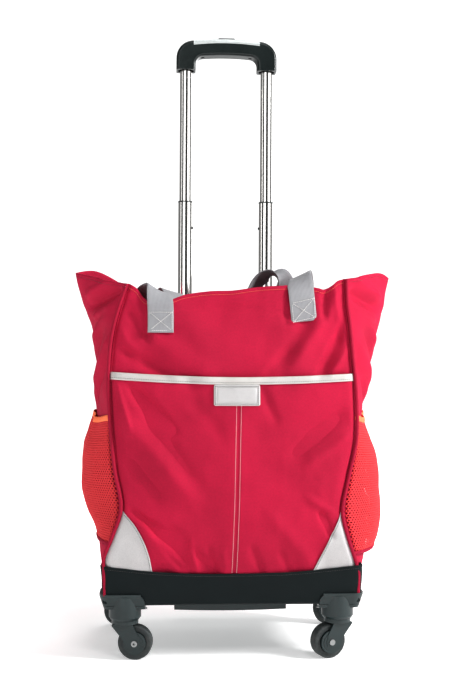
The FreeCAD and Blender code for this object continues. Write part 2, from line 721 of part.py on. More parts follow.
def make_mesh_pocket(side):
    """A bulging net pocket, seated on the gusset along its foot and both its sides, and open at its top."""
    seat = 2 * SEAM_GAP + MESH_FABRIC
    rows = [(MESH_LOW_Z, gusset_face(MESH_LOW_Z, 0) + seat, gusset_face(MESH_LOW_Z, MESH_SHOULDER_Y) + seat)]
    sections = []
    for z, fold_x, shoulder_x in rows + MESH_LEVELS:
        outer = [
            (gusset_face(z, -MESH_EDGE_Y) + seat, -MESH_EDGE_Y),
            (shoulder_x, -MESH_SHOULDER_Y),
            (fold_x, 0.0),
            (shoulder_x, MESH_SHOULDER_Y),
            (gusset_face(z, MESH_EDGE_Y) + seat, MESH_EDGE_Y),
        ]
        sections.append([(x, y, z) for x, y in outer] + [(x - MESH_FABRIC, y, z) for x, y in reversed(outer)])
    pocket = stack(sections)
    return pocket if side > 0 else pocket.mirror(V(0, 0, 0), V(1, 0, 0))


def strap_leg(side, inside, away, rise, panel):
    """One end of a strap: sewn down the panel, over the rim, and down to the run inside the bag."""
    x0, width = side * STRAP_X - STRAP_W / 2, STRAP_W
    rim = BAG_LEVELS[-1][0]
    top, drop = rim + rise, rim - STRAP_DROP
    low_y, rim_y = panel(STRAP_LOW_Z) + away * SEAM_GAP * 2, panel(rim) + away * SEAM_GAP * 2
    low_knee = BAG_LEVELS[-2][0]
    knee_y = panel(low_knee) + away * SEAM_GAP * 2
    outside = [(low_y, STRAP_LOW_Z), (knee_y, low_knee), (rim_y, rim)]
    profile = outside + [(rim_y, top - STRAP), (inside, top - STRAP), (inside, drop)]
    profile += [(inside - away * STRAP, drop), (inside - away * STRAP, top), (rim_y + away * STRAP, top)]
    profile += [(y + away * STRAP, z) for y, z in reversed(outside)]
    return prism([(x0, y, z) for y, z in profile], (width, 0, 0))


def make_strap(front):
    """A webbing carry strap: both ends sewn to a panel, its middle dropped inside the bag along the rim."""
    away, column, rise = (-1.0, 3, FRONT_STRAP_RISE) if front else (1.0, 4, REAR_STRAP_RISE)

    def panel(z):
        return away * between(BAG_LEVELS, z)[column]

    rim = BAG_LEVELS[-1][0]
    inside = panel(rim) - away * (FABRIC + STRAP_INSIDE)
    run_x = STRAP_X - STRAP_W / 2 + 1.0
    y0, y1 = sorted((inside, inside - away * STRAP))
    strap = block(-run_x, run_x, y0, y1, rim - STRAP_DROP, rim - STRAP_DROP + STRAP_W)
    for side in SIDES.values():
        strap = strap.fuse(strap_leg(side, inside, away, rise, panel))
    return one_solid(strap)


def save_bag():
    save("base_band", make_base_band())
    save("base_board", make_base_board())
    save("front_panel", make_front_panel())
    save("back_panel", make_back_panel())
    save("corner_cords", make_corner_cords())
    save("front_pocket", make_front_pocket())
    save("pocket_binding", make_pocket_binding())
    save("label_patch", make_label_patch())
    save("corner_patches", make_corner_patches())
    save("front_strap", make_strap(True))
    save("rear_strap", make_strap(False))
    for name, side in SIDES.items():
        save("gusset_" + name, make_gusset(side))
        save("mesh_pocket_" + name, make_mesh_pocket(side))


# ---------------------------------------------------------------- telescopic handle
def both(make):
    """A part made once on each tube's axis."""
    return group([make(side * TUBE_X, side) for side in SIDES.values()])


def with_pin_holes(tube, x, inward, heights, reach):
    """A tube with a lock hole in the side that faces its twin, at each height."""
    for z in heights:
        tube = tube.cut(bar_x(PIN_R + PLUG_FIT, TUBE_Y, z, x, x + inward * (reach + 1)))
    return tube


def upper_pin_z():
    return UPPER_PLUG_TOP_Z - PLUG_H / 2


def middle_pin_z():
    return MIDDLE_PLUG_TOP_Z - PLUG_H / 2


def save_tubes():
    for name, side in SIDES.items():
        x, inward = side * TUBE_X, -side
        top = SOCKET_LOW_Z + SOCKET_DEPTH
        save("upper_tube_" + name, ring(UPPER_R, UPPER_BORE_R, x, TUBE_Y, UPPER_LOW_Z, top))
        middle = ring(MIDDLE_R, MIDDLE_BORE_R, x, TUBE_Y, MIDDLE_LOW_Z, MIDDLE_TOP_Z)
        middle = with_pin_holes(middle, x, inward, (upper_pin_z(), upper_pin_z() - UPPER_TRAVEL), MIDDLE_R)
        middle = middle.cut(bar_x(NUB_R + BORE_PLAY, TUBE_Y, NUB_Z, x, x + inward * (MIDDLE_R + 1)))
        save("middle_tube_" + name, middle)
        outer = ring(OUTER_R, OUTER_BORE_R, x, TUBE_Y, OUTER_FOOT_Z, OUTER_TOP_Z)
        outer = with_pin_holes(outer, x, inward, (middle_pin_z(), middle_pin_z() - MIDDLE_TRAVEL), OUTER_R)
        save("outer_tube_" + name, outer)


def make_middle_bush(x, side):
    """The guide in a middle tube's top: a sleeve, a rim on the tube's end, and a nub through its wall."""
    inward = -side
    bore = UPPER_R + SLIDE_FIT
    bush = rod(MIDDLE_BORE_R - SNUG, x, TUBE_Y, UPPER_PLUG_TOP_Z + STOP_GAP, MIDDLE_TOP_Z)
    bush = bush.fuse(rod(MIDDLE_R + BUSH_RIM, x, TUBE_Y, MIDDLE_TOP_Z, MIDDLE_TOP_Z + BUSH_FLANGE))
    bush = bush.fuse(bar_x(NUB_R, TUBE_Y, NUB_Z, x, x + inward * (MIDDLE_R + NUB_PROUD)))
    return one_solid(bush.cut(rod(bore, x, TUBE_Y, 0, FAR)))


def make_plug(x, side, top, guide_r, neck_r):
    """The plug in a sliding tube's lower end: it guides the tube and holds its lock pin in a cross hole."""
    inward = -side
    plug = rod(guide_r, x, TUBE_Y, top - PLUG_H, top).fuse(rod(neck_r, x, TUBE_Y, top - 1, top + PLUG_NECK))
    back_x, far_x = x + inward * (PIN_BACK_R - 0.5), x + inward * PLUG_H
    plug = plug.cut(bar_x(PIN_R + BORE_PLAY, TUBE_Y, top - PLUG_H / 2, back_x, far_x))
    return one_solid(plug.cut(rod(ROD_R + ROD_FIT, x, TUBE_Y, top - PLUG_H + PLUG_FLOOR, top + PLUG_H)))


def make_upper_plug(x, side):
    return make_plug(x, side, UPPER_PLUG_TOP_Z, MIDDLE_BORE_R - PLUG_FIT, UPPER_BORE_R - SNUG)


def make_middle_plug(x, side):
    return make_plug(x, side, MIDDLE_PLUG_TOP_Z, OUTER_BORE_R - PLUG_FIT, MIDDLE_BORE_R - SNUG)


def make_lock_pin(side, z, bore_r):
    """A spring-loaded pin, drawn back to just inside the bore around it."""
    x, inward = side * TUBE_X, -side
    return bar_x(PIN_R, TUBE_Y, z, x + inward * PIN_BACK_R, x + inward * (bore_r - PLUG_FIT))


def make_handle_bezel():
    """The moulding behind the bag that caps the outer tubes and guides the middle ones in two bushes."""
    low, seat = OUTER_TOP_Z - BEZEL_H, OUTER_TOP_Z
    front = between(BAG_LEVELS, low)[4] + SEAM_GAP
    rear = TUBE_Y + OUTER_R + BEZEL_WALL
    half_x = TUBE_X + OUTER_R + BEZEL_WALL
    bezel = block(-half_x, half_x, front, rear, low, seat + BUSH_FLANGE)
    corners = [
        e for e in bezel.Edges
        if e.BoundBox.XLength < TINY and e.BoundBox.YLength < TINY and e.BoundBox.YMin > rear - TINY
    ]
    bezel = bezel.makeFillet(BEZEL_ROUND, corners)
    for side in SIDES.values():
        x = side * TUBE_X
        bezel = bezel.cut(rod(OUTER_R + SNUG, x, TUBE_Y, low - 1, seat))
        bezel = bezel.fuse(rod(OUTER_BORE_R - SNUG, x, TUBE_Y, MIDDLE_PLUG_TOP_Z + STOP_GAP, seat + 1))
    for side in SIDES.values():
        bezel = bezel.cut(rod(MIDDLE_R + SLIDE_FIT, side * TUBE_X, TUBE_Y, 0, seat + 50))
    return one_solid(bezel)


def make_tube_sleeve():
    """The cloth cover over the outer tubes at the back: a channel that closes against the back panel."""
    low, high = FOOT_TOP_Z + SEAM_GAP, OUTER_TOP_Z - BEZEL_H - SEAM_GAP
    face = BASE_HALF_Y + SEAM_GAP
    rear = TUBE_Y + OUTER_R + 0.5
    x = SLEEVE_HALF_X
    slope = SLEEVE_SLOPE
    outline = [
        (-x, face, low),
        (-x + slope, rear + SLEEVE_WALL, low),
        (x - slope, rear + SLEEVE_WALL, low),
        (x, face, low),
        (x - SLEEVE_WALL - SLEEVE_FOLD, face, low),
        (x - slope - SLEEVE_WALL, rear, low),
        (-x + slope + SLEEVE_WALL, rear, low),
        (-x + SLEEVE_WALL + SLEEVE_FOLD, face, low),
    ]
    return prism(outline, (0, 0, high - low))


# ---------------------------------------------------------------- grip
def line(a, b, y):
    """A straight edge in the plane at y, between two (x, z) points."""
    return Part.LineSegment(V(a[0], y, a[1]), V(b[0], y, b[1])).toShape()


def arc(a, m, b, y):
    return Part.Arc(V(a[0], y, a[1]), V(m[0], y, m[1]), V(b[0], y, b[1])).toShape()


def arch(y, half, rise, top, wall):
    """An arched edge that turns down into a wall at each side, as a chain of tangent arcs from -X to +X.

    The middle arc reaches to half and is rise higher in its middle. Also gives the turns' lowest height.
    """
    radius = (half * half + rise * rise) / (2 * rise)
    lean = math.asin(half / radius)
    turn_r = (wall - half) / (1 - math.sin(lean))
    cx, cz = wall - turn_r, top - rise - turn_r * math.cos(lean)
    mid = (math.pi / 2 - lean) / 2
    mx, mz = cx + turn_r * math.cos(mid), cz + turn_r * math.sin(mid)
    left = arc((-wall, cz), (-mx, mz), (-half, top - rise), y)
    middle = arc((-half, top - rise), (0, top), (half, top - rise), y)
    right = arc((half, top - rise), (mx, mz), (wall, cz), y)
    return [left, middle, right], cz


def grip_outline(y):
    """The grip seen from the front: two sockets joined by a bar with an arched top and underside."""
    out, inn, low = TUBE_X + SOCKET_R, TUBE_X - SOCKET_R, SOCKET_LOW_Z
    upper, upper_z = arch(y, GRIP_ARCH_X, GRIP_ARCH_RISE, GRIP_TOP_Z, out)
    lower, lower_z = arch(y, inn - GRIP_INNER_TURN, GRIP_ARCH_RISE / 2, GRIP_BAR_LOW_Z, inn)
    edges = [line((-out, low), (-out, upper_z), y)] + upper
    edges += [line((out, upper_z), (out, low), y), line((out, low), (inn, low), y)]
    edges += [line((inn, low), (inn, lower_z), y)] + lower + [line((-inn, lower_z), (-inn, low), y)]
    edges.append(line((-inn, low), (-out, low), y))
    return Part.Wire(Part.__sortEdges__(edges))


def grip_blank():
    """The whole grip before it is split into its body and its cover."""
    blank = Part.Face(grip_outline(-GRIP_HALF_Y)).extrude(V(0, 2 * GRIP_HALF_Y, 0))
    rims = [
        e for e in blank.Edges
        if e.BoundBox.YLength < TINY and not (e.BoundBox.ZMax < SOCKET_LOW_Z + TINY)
    ]
    blank = blank.makeFillet(GRIP_ROUND, rims)
    blank.translate(V(0, TUBE_Y, 0))
    return blank


def cover_region():
    """The part of the grip that the cover takes: an arched strip along the top of the bar."""
    x, low, y = COVER_HALF_X, GRIP_TOP_Z - COVER, TUBE_Y - 2 * GRIP_HALF_Y
    end, high = low - GRIP_ARCH_RISE, GRIP_TOP_Z + 40
    edges = [
        arc((-x, end), (0, low), (x, end), y),
        line((x, end), (x, high), y),
        line((x, high), (-x, high), y),
        line((-x, high), (-x, end), y),
    ]
    return Part.Face(Part.Wire(edges)).extrude(V(0, 4 * GRIP_HALF_Y, 0))


def rod_channel():
    """The space inside the grip for the push rods' bar, the button and the spring."""
    reach = TUBE_X + ROD_R + 1.0
    y0, y1 = TUBE_Y - ROD_BAR_HALF_Y - CHANNEL_PLAY, TUBE_Y + ROD_BAR_HALF_Y + CHANNEL_PLAY
    low_z, high_z = ROD_BAR_Z - BUTTON_TRAVEL - CHANNEL_PLAY, ROD_BAR_Z + ROD_BAR + CHANNEL_PLAY
    space = block(-reach, reach, y0, y1, low_z, high_z)
    wide = BUTTON_HALF_X + BUTTON_GAP
    deep = BUTTON_HALF_Y + BUTTON_GAP
    space = space.fuse(block(-wide, wide, TUBE_Y - deep, TUBE_Y + deep, low_z, GRIP_TOP_Z + 20))
    space = space.fuse(rod(SPRING_R + 1.0, 0, TUBE_Y, GRIP_BAR_LOW_Z + SPRING_FLOOR, ROD_BAR_Z))
    for side in SIDES.values():
        space = space.fuse(rod(ROD_R + CHANNEL_PLAY, side * TUBE_X, TUBE_Y, SOCKET_LOW_Z, high_z))
    return space


def make_grip_body():
    body = grip_blank().cut(cover_region()).cut(rod_channel())
    socket_top, lip_top = SOCKET_LOW_Z + SOCKET_DEPTH, SOCKET_LOW_Z + SOCKET_LIP_H
    head_r, head_top = GRIP_SCREW_HEAD_R + 2 * BORE_PLAY, GRIP_BAR_LOW_Z + GRIP_SCREW_SINK
    for side in SIDES.values():
        body = body.cut(rod(UPPER_R + SNUG, side * TUBE_X, TUBE_Y, SOCKET_LOW_Z - 1, socket_top))
        body = body.cut(rod(SOCKET_R - SOCKET_LIP, side * TUBE_X, TUBE_Y, SOCKET_LOW_Z - 1, lip_top))
        x = side * GRIP_SCREW_X
        body = body.cut(rod(head_r, x, TUBE_Y, 0, head_top))
        body = body.cut(rod(GRIP_SCREW_R + SNUG, x, TUBE_Y, 0, GRIP_BAR_LOW_Z + GRIP_SCREW_TIP))
    return one_solid(body)


def make_grip_cover():
    return one_solid(grip_blank().common(cover_region()).cut(rod_channel()))


def make_grip_screws():
    screws = []
    for side in SIDES.values():
        x = side * GRIP_SCREW_X
        top = GRIP_BAR_LOW_Z + GRIP_SCREW_SINK
        head = rod(GRIP_SCREW_HEAD_R, x, TUBE_Y, top - SCREW_HEAD, top)
        shank = rod(GRIP_SCREW_R, x, TUBE_Y, top - SCREW_HEAD, GRIP_BAR_LOW_Z + GRIP_SCREW_TIP)
        screws.append(one_solid(head.fuse(shank)))
    return group(screws)


def make_release_button():
    button = block(
        -BUTTON_HALF_X, BUTTON_HALF_X, TUBE_Y - BUTTON_HALF_Y, TUBE_Y + BUTTON_HALF_Y,
        ROD_BAR_Z + ROD_BAR, GRIP_TOP_Z + BUTTON_PROUD,
    )
    top = [e for e in button.Edges if e.BoundBox.ZMin > GRIP_TOP_Z + BUTTON_PROUD - TINY]
    return button.makeFillet(BUTTON_ROUND, top)


def make_push_rods():
    """One bar across the grip under the button, and a rod down each upper tube to its lock pin."""
    bar = block(
        -TUBE_X - ROD_R, TUBE_X + ROD_R, TUBE_Y - ROD_BAR_HALF_Y, TUBE_Y + ROD_BAR_HALF_Y,
        ROD_BAR_Z, ROD_BAR_Z + ROD_BAR,
    )
    low = UPPER_PLUG_TOP_Z - PLUG_H + PLUG_FLOOR + BUTTON_TRAVEL + ROD_FIT
    for side in SIDES.values():
        bar = bar.fuse(rod(ROD_R, side * TUBE_X, TUBE_Y, low, ROD_BAR_Z + 1))
    return one_solid(bar)


def make_button_spring():
    """A coil between the floor of the grip's pocket and the bar under the button."""
    low = GRIP_BAR_LOW_Z + SPRING_FLOOR + SPRING_WIRE_R
    high = ROD_BAR_Z - SPRING_WIRE_R
    pitch = (high - low) / SPRING_TURNS
    helix = Part.makeHelix(pitch, high - low, SPRING_R - SPRING_WIRE_R)
    wire = Part.Wire([Part.makeCircle(SPRING_WIRE_R, V(SPRING_R - SPRING_WIRE_R, 0, 0), V(0, 1, 0))])
    spring = Part.Wire(helix).makePipeShell([wire], True, True)
    spring.translate(V(0, TUBE_Y, low))
    return spring


def save_handle():
    save_tubes()
    save("middle_bushes", both(make_middle_bush))
    save("upper_plugs", both(make_upper_plug))
    save("middle_plugs", both(make_middle_plug))
    for name, side in SIDES.items():
        save("upper_lock_pin_" + name, make_lock_pin(side, upper_pin_z(), MIDDLE_BORE_R))
        save("middle_lock_pin_" + name, make_lock_pin(side, middle_pin_z(), OUTER_BORE_R))
    save("handle_bezel", make_handle_bezel())
    save("tube_sleeve", make_tube_sleeve())
    save("grip_body", make_grip_body())
    save("grip_cover", make_grip_cover())
    save("grip_screws", make_grip_screws())
    save("release_button", make_release_button())
    save("push_rods", make_push_rods())
    save("button_spring", make_button_spring())


def main():
    os.makedirs("parts", exist_ok=True)
    save_casters()
    save("base_tray", make_base_tray())
    save("base_screws", make_base_screws())
    save("tube_foot", make_tube_foot())
    save_bag()
    save_handle()


main()
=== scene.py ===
# Four-wheel shopping trolley: its looks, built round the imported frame.
#
# Shapes are worked out in millimetres in the frame's own axes (+Z up, -Y the front) and are turned into
# metres when a mesh is made. Places come from the frame's boxes wherever a CAD piece has them.

import bisect
import math

import bpy
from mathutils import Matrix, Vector, noise


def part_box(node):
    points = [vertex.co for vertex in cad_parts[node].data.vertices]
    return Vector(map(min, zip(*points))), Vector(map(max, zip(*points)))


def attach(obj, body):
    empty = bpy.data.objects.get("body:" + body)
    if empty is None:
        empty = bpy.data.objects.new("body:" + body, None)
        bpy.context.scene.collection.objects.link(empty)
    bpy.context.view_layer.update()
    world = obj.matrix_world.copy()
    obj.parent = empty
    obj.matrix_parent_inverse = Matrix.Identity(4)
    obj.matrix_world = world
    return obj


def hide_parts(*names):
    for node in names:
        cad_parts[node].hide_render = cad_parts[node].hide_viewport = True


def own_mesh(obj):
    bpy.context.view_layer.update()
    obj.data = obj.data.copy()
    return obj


bl_info = {
    "name": "Shopping trolley",
    "version": (1, 0, 0),
    "blender": (4, 5, 0),
    "location": "3D View > Sidebar > Trolley",
    "description": "Builds the cloth, trim, finishes and stage of a four-wheel shopping trolley",
    "category": "Object",
}

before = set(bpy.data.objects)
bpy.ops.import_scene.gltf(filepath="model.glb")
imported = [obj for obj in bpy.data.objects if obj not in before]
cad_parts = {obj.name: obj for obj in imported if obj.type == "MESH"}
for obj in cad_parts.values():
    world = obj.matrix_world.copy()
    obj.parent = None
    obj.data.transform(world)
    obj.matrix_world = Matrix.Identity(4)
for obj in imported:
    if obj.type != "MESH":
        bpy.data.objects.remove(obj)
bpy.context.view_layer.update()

MM = 0.001


# ---------------------------------------------------------------- places taken from the frame
def box_mm(node):
    """A CAD node's two corners in millimetres."""
    low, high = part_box(node)
    return low / MM, high / MM


BAND_LOW, BAND_HIGH = box_mm("base_band")
TUBE_LOW, TUBE_HIGH = box_mm("outer_tube_right")
SLEEVE_LOW, SLEEVE_HIGH = box_mm("tube_sleeve")
HOUSING_HIGH = box_mm("caster_housing_front_right")[1]
MID_Y = (BAND_LOW.y + BAND_HIGH.y) / 2
BASE_HALF_X = BAND_HIGH.x
BASE_HALF_Y = (BAND_HIGH.y - BAND_LOW.y) / 2
TUBE_X = (TUBE_LOW.x + TUBE_HIGH.x) / 2
TUBE_Y = (TUBE_LOW.y + TUBE_HIGH.y) / 2
TUBE_R = (TUBE_HIGH.x - TUBE_LOW.x) / 2

PANEL_FOOT_Z = BAND_HIGH.z - 7.0
CLOTH = 1.5
CORD_R = 2.7
WELD_REACH = 0.00002
# Heights whose width from seam to seam spreads places along the rims and along the pocket's edge.
RIM_SPREAD_Z = 540
POCKET_SPREAD_Z = 400
# How deep and how wide (as a share of the panel) the cloth sinks beside its seams.
FRONT_GROOVE, FRONT_GROOVE_SHARE = 4.6, 0.026
SIDE_GROOVE, SIDE_GROOVE_SHARE = 3.6, 0.02


# ---------------------------------------------------------------- smooth lines
class Line:
    """A smooth line through a few (place, value) points, level beyond both ends."""

    def __init__(self, *points):
        self.at = [p[0] for p in points]
        self.value = [p[1] for p in points]
        last = len(points) - 1
        self.slope = []
        for i in range(len(points)):
            a, b = max(i - 1, 0), min(i + 1, last)
            self.slope.append((self.value[b] - self.value[a]) / (self.at[b] - self.at[a]))

    def __call__(self, t):
        if t <= self.at[0]:
            return self.value[0]
        if t >= self.at[-1]:
            return self.value[-1]
        i = bisect.bisect_right(self.at, t) - 1
        span = self.at[i + 1] - self.at[i]
        f = (t - self.at[i]) / span
        g = 1 - f
        return (
            self.value[i] * (1 + 2 * f) * g * g
            + self.value[i + 1] * (3 - 2 * f) * f * f
            + span * f * g * (self.slope[i] * g - self.slope[i + 1] * f)
        )


def mixed(a, b, t):
    return a + (b - a) * t


def eased(t):
    t = min(max(t, 0.0), 1.0)
    return t * t * (3 - 2 * t)


def smooth_path(points, steps):
    """Points along a smooth run through a list of vectors."""
    lines = [Line(*[(i, p[k]) for i, p in enumerate(points)]) for k in range(len(points[0]))]
    last = len(points) - 1
    return [[line(last * i / steps) for line in lines] for i in range(steps + 1)]


# ---------------------------------------------------------------- the bag's shape
# Half widths at the corner seams and at the side folds, left and right, by height.
SEAM_X = {
    -1: Line((100, 182), (128, 183.5), (148, 186), (182, 173), (222, 161), (280, 171), (374, 180),
             (430, 180.5),
             (485, 174), (548, 155)),
    1: Line((100, 181.5), (126, 182), (142, 180), (178, 168), (216, 159.5), (264, 168), (322, 180),
            (391, 180),
            (440, 176), (490, 172), (523, 168.5), (556, 167.5)),
}
FOLD_X = {
    -1: Line((100, 190), (140, 194), (200, 203), (300, 204), (389, 205), (446, 207.5), (484, 213),
             (510, 224), (541, 233), (570, 239)),
    1: Line((100, 193), (135, 206), (180, 212), (260, 209), (350, 204), (388, 210), (420, 220),
            (464, 229), (523, 243), (566, 252)),
}
# Depths of the corner seams ahead of and behind the bag's middle plane, by height.
FRONT_DEPTH = Line((100, 110.5), (126, 111.5), (150, 114.5), (175, 116.5), (219, 117), (290, 115.5),
                   (350, 112), (415, 107),
                   (480, 100), (548, 92))
REAR_DEPTH = Line((100, 110.5), (126, 111.5), (150, 113), (290, 112.5), (415, 111.5), (480, 108), (548, 100))
FRONT_CROWN = Line((120, 1), (150, 6), (215, 12), (300, 13.5), (380, 12.5), (430, 11), (490, 8), (545, 4))
FOLD_SHARPNESS = Line((160, 2.6), (300, 2.2), (420, 1.8), (500, 1.35), (560, 1.2))
# The upper edge of the front panel across the bag, and of the gussets from front seam to rear seam.
RIM_Z = Line((-155, 547.6), (-141, 540), (-124, 524.5), (-107, 522), (-87, 524.5), (-69, 531.7), (-34, 537.2),
             (0, 538.5), (35, 543.6), (66, 546), (99, 547), (126, 543), (135, 541), (146, 547), (156, 554.5),
             (172, 558))
WING_Z = {
    -1: Line((0, 547), (0.2, 556), (0.5, 569), (0.72, 574), (1, 548)),
    1: Line((0, 557), (0.2, 567), (0.36, 571), (0.5, 565), (0.75, 566), (1, 548)),
}
REAR_RIM_Z = Line((-175, 548), (-148, 545), (-112, 528), (0, 537), (110, 535), (150, 541), (175, 548))

# Folds in the cloth: from (x, z) to (x, z), half width, and height out of the surface.
FRONT_FOLDS = [
    ((-153, 446), (-98, 414), 9, -6.0),
    ((-166, 480), (-140, 440), 8, 3.2),
    ((-150, 505), (-128, 470), 8, -3.6),
    ((-124, 476), (-40, 420), 16, 3.6),
    ((-118, 440), (-60, 405), 10, -3.0),
    ((96, 440), (148, 524), 11, 4.4),
    ((70, 425), (112, 500), 10, -2.6),
    ((129, 420), (162, 482), 8, -5.0),
    ((146, 420), (171, 456), 6, 3.4),
    ((50, 416), (80, 452), 8, -2.4),
    ((-60, 522), (60, 466), 28, -2.2),
    ((-70, 500), (-30, 440), 18, 2.0),
    ((138, 534), (134, 500), 6, -4.6),
    ((150, 545), (156, 500), 6, 2.4),
    ((-132, 524), (-126, 470), 6, -3.0),
    ((84, 540), (78, 498), 6, -2.4),
    ((-10, 512), (90, 506), 9, -1.6),
]
POCKET_FOLDS = [
    ((-170, 400), (-151, 342), 4, 3.6),
    ((-173, 372), (-166, 250), 8, -4.4),
    ((-150, 396), (-120, 350), 6, -3.4),
    ((-137, 388), (-92, 338), 8, -4.4),
    ((-160, 352), (-72, 248), 15, 5.0),
    ((-118, 340), (-58, 262), 12, -3.0),
    ((-150, 290), (-110, 240), 10, -3.2),
    ((-60, 380), (-20, 330), 12, -2.0),
    ((-140, 214), (-98, 180), 5, -6.0),
    ((-130, 196), (-84, 150), 5, 3.6),
    ((-116, 184), (-78, 140), 5, -4.6),
    ((-132, 200), (-74, 131), 11, 2.8),
    ((-112, 196), (-66, 146), 7, -3.6),
    ((-84, 186), (-34, 138), 8, -3.8),
    ((-62, 172), (-52, 132), 5, 2.8),
    ((-34, 162), (-24, 130), 5, -2.4),
    ((-14, 158), (-10, 130), 5, 1.6),
    ((92, 304), (150, 352), 10, -3.8),
    ((112, 290), (166, 326), 9, 3.0),
    ((40, 396), (60, 350), 7, -2.2),
    ((128, 214), (144, 182), 5, -4.2),
    ((110, 236), (146, 214), 6, 2.2),
    ((60, 206), (114, 138), 12, 2.4),
    ((28, 164), (42, 130), 6, -2.2),
    ((70, 156), (82, 130), 5, -1.8),
]
SIDE_FOLDS = [
    ((-96, 538), (-6, 512), 7, -9.0),
    ((-90, 516), (-40, 500), 6, 5.0),
    ((-92, 560), (-20, 530), 7, 6.0),
    ((-80, 500), (10, 440), 9, 6.5),
    ((-60, 480), (20, 400), 8, -7.0),
    ((-96, 470), (-30, 400), 7, 5.0),
    ((-92, 440), (-36, 372), 7, -5.5),
    ((-20, 560), (70, 470), 12, -5.0),
    ((20, 430), (80, 350), 10, -3.4),
    ((-40, 392), (20, 340), 9, 4.0),
]
BACK_FOLDS = [
    ((-150, 500), (-110, 430), 12, -4.0),
    ((150, 510), (110, 420), 12, -4.0),
    ((-165, 440), (-118, 360), 12, 3.0),
    ((165, 430), (118, 350), 12, 3.0),
    ((-160, 330), (-110, 250), 14, 3.4),
    ((160, 320), (112, 230), 14, 3.4),
    ((-150, 210), (-100, 150), 10, -3.4),
    ((150, 200), (104, 150), 10, -3.4),
    ((-60, 530), (60, 520), 14, 2.4),
]

FOLD_GAIN = 1.3


def fold_height(folds, x, z):
    """How far the listed folds lift the cloth at one place."""
    total = 0.0
    for (x0, z0), (x1, z1), width, height in folds:
        dx, dz = x1 - x0, z1 - z0
        length = math.hypot(dx, dz)
        along = ((x - x0) * dx + (z - z0) * dz) / (length * length)
        across = ((x - x0) * dz - (z - z0) * dx) / length
        if -0.5 < along < 1.5 and abs(across) < 3.2 * width:
            ends = eased((along + 0.35) / 0.5) * eased((1.35 - along) / 0.5)
            total += FOLD_GAIN * height * ends * math.exp(-(across / width) ** 2)
    return total


def ripple(x, z, size, seed):
    """A soft unevenness of the cloth, from -1 to 1."""
    return noise.noise(Vector((x / size, z / size, seed)))


def seam_point(side, front, z):
    """A corner seam's place at one height."""
    depth = -FRONT_DEPTH(z) if front else REAR_DEPTH(z)
    return Vector((side * SEAM_X[side](z), MID_Y + depth, z))


def seam_to_seam(s, z):
    """The x at share s (-1 to 1) of the width between the corner seams at one height."""
    return mixed(-SEAM_X[-1](z), SEAM_X[1](z), (s + 1) / 2)


def front_point(s, z, lift=0.0):
    """The front cloth at share s across it (-1 to 1) and height z, and lift outside it."""
    x = seam_to_seam(s, z)
    fade = 1 - abs(s) ** 2.1
    out = FRONT_CROWN(z) * fade
    edge = eased((1 - abs(s)) * 9)
    out -= FRONT_GROOVE * math.exp(-((1 - abs(s)) / FRONT_GROOVE_SHARE) ** 2)
    out += edge * fold_height(FRONT_FOLDS, x, z)
    out += edge * (2.6 * ripple(x, z, 90, 3.0) + 1.3 * ripple(x, z, 36, 8.0) + 0.3 * ripple(x, z, 13, 5.0))
    return Vector((x, MID_Y - FRONT_DEPTH(z) - out - lift, z))


POCKET_TOP_Z = Line((-176, 417), (-90, 412.5), (0, 410.5), (90, 412), (176, 416))
PLEAT_X = Line((129, -1.2), (233, 1.5), (368, 3.8), (410, 4.4))


def pocket_point(s, z, lift=0.0, pleat=1.0):
    """The pocket's cloth, which lies on the front and stands a little open at its top."""
    point = front_point(s, z)
    x = point.x
    edge = eased((1 - abs(s)) * 10)
    open_share = eased((z - 330) / 80)
    out = 2.4 + edge * open_share * 2.6
    out += edge * fold_height(POCKET_FOLDS, x, z)
    out += edge * (1.8 * ripple(x, z, 60, 21.0) + 0.7 * ripple(x, z, 24, 14.0))
    side = x - PLEAT_X(z) - 3.4
    out += 2.0 * math.exp(-(side / 30) ** 2) - 1.3 * pleat * math.exp(-(side / 2.6) ** 2)
    point.y -= out + lift
    return point


def at_x(x, z):
    """The share across the front at which the cloth has a given x."""
    left, right = -SEAM_X[-1](z), SEAM_X[1](z)
    return 2 * (x - left) / (right - left) - 1


def on_front(x, z, lift):
    return front_point(at_x(x, z), z, lift)


def on_pocket(x, z, lift, pleat=1.0):
    return pocket_point(at_x(x, z), z, lift, pleat)


def gusset_point(side, a, z, lift=0.0):
    """The side cloth at share a from the front seam (0) to the rear seam (1)."""
    front, rear = seam_point(side, True, z), seam_point(side, False, z)
    base = front.lerp(rear, a)
    share = 1 - abs(2 * a - 1) ** FOLD_SHARPNESS(z)
    bulge = side * FOLD_X[side](z) - (front.x + rear.x) / 2
    edge = eased(min(a, 1 - a) * 10)
    around = (a - 0.5) * 200
    calm = 0.15 + 0.85 * eased((abs(around) - 12) / 30)
    groove = SIDE_GROOVE * math.exp(-(min(a, 1 - a) / SIDE_GROOVE_SHARE) ** 2)
    out = edge * calm * fold_height(SIDE_FOLDS, around, z) - groove
    place = around + side * 400
    out += edge * (2.4 * ripple(place, z, 60, 31.0) + 0.9 * ripple(place, z, 24, 37.0))
    return Vector((base.x + bulge * share + side * (out + lift), base.y, z))


def back_point(s, z, lift=0.0):
    """The back cloth, which hangs flat from seam to seam behind the tube sleeve."""
    x = seam_to_seam(s, z)
    edge = eased((1 - abs(s)) * 9)
    calm = eased((abs(x) - 70) / 40)
    out = edge * calm * (fold_height(BACK_FOLDS, x, z) + 1.5 * ripple(x, z, 80, 51.0))
    return Vector((x, MID_Y + REAR_DEPTH(z) + out + lift, z))


# ---------------------------------------------------------------- mesh helpers
def new_object(name, mesh):
    piece = bpy.data.objects.new(name, mesh)
    bpy.context.scene.collection.objects.link(piece)
    return piece


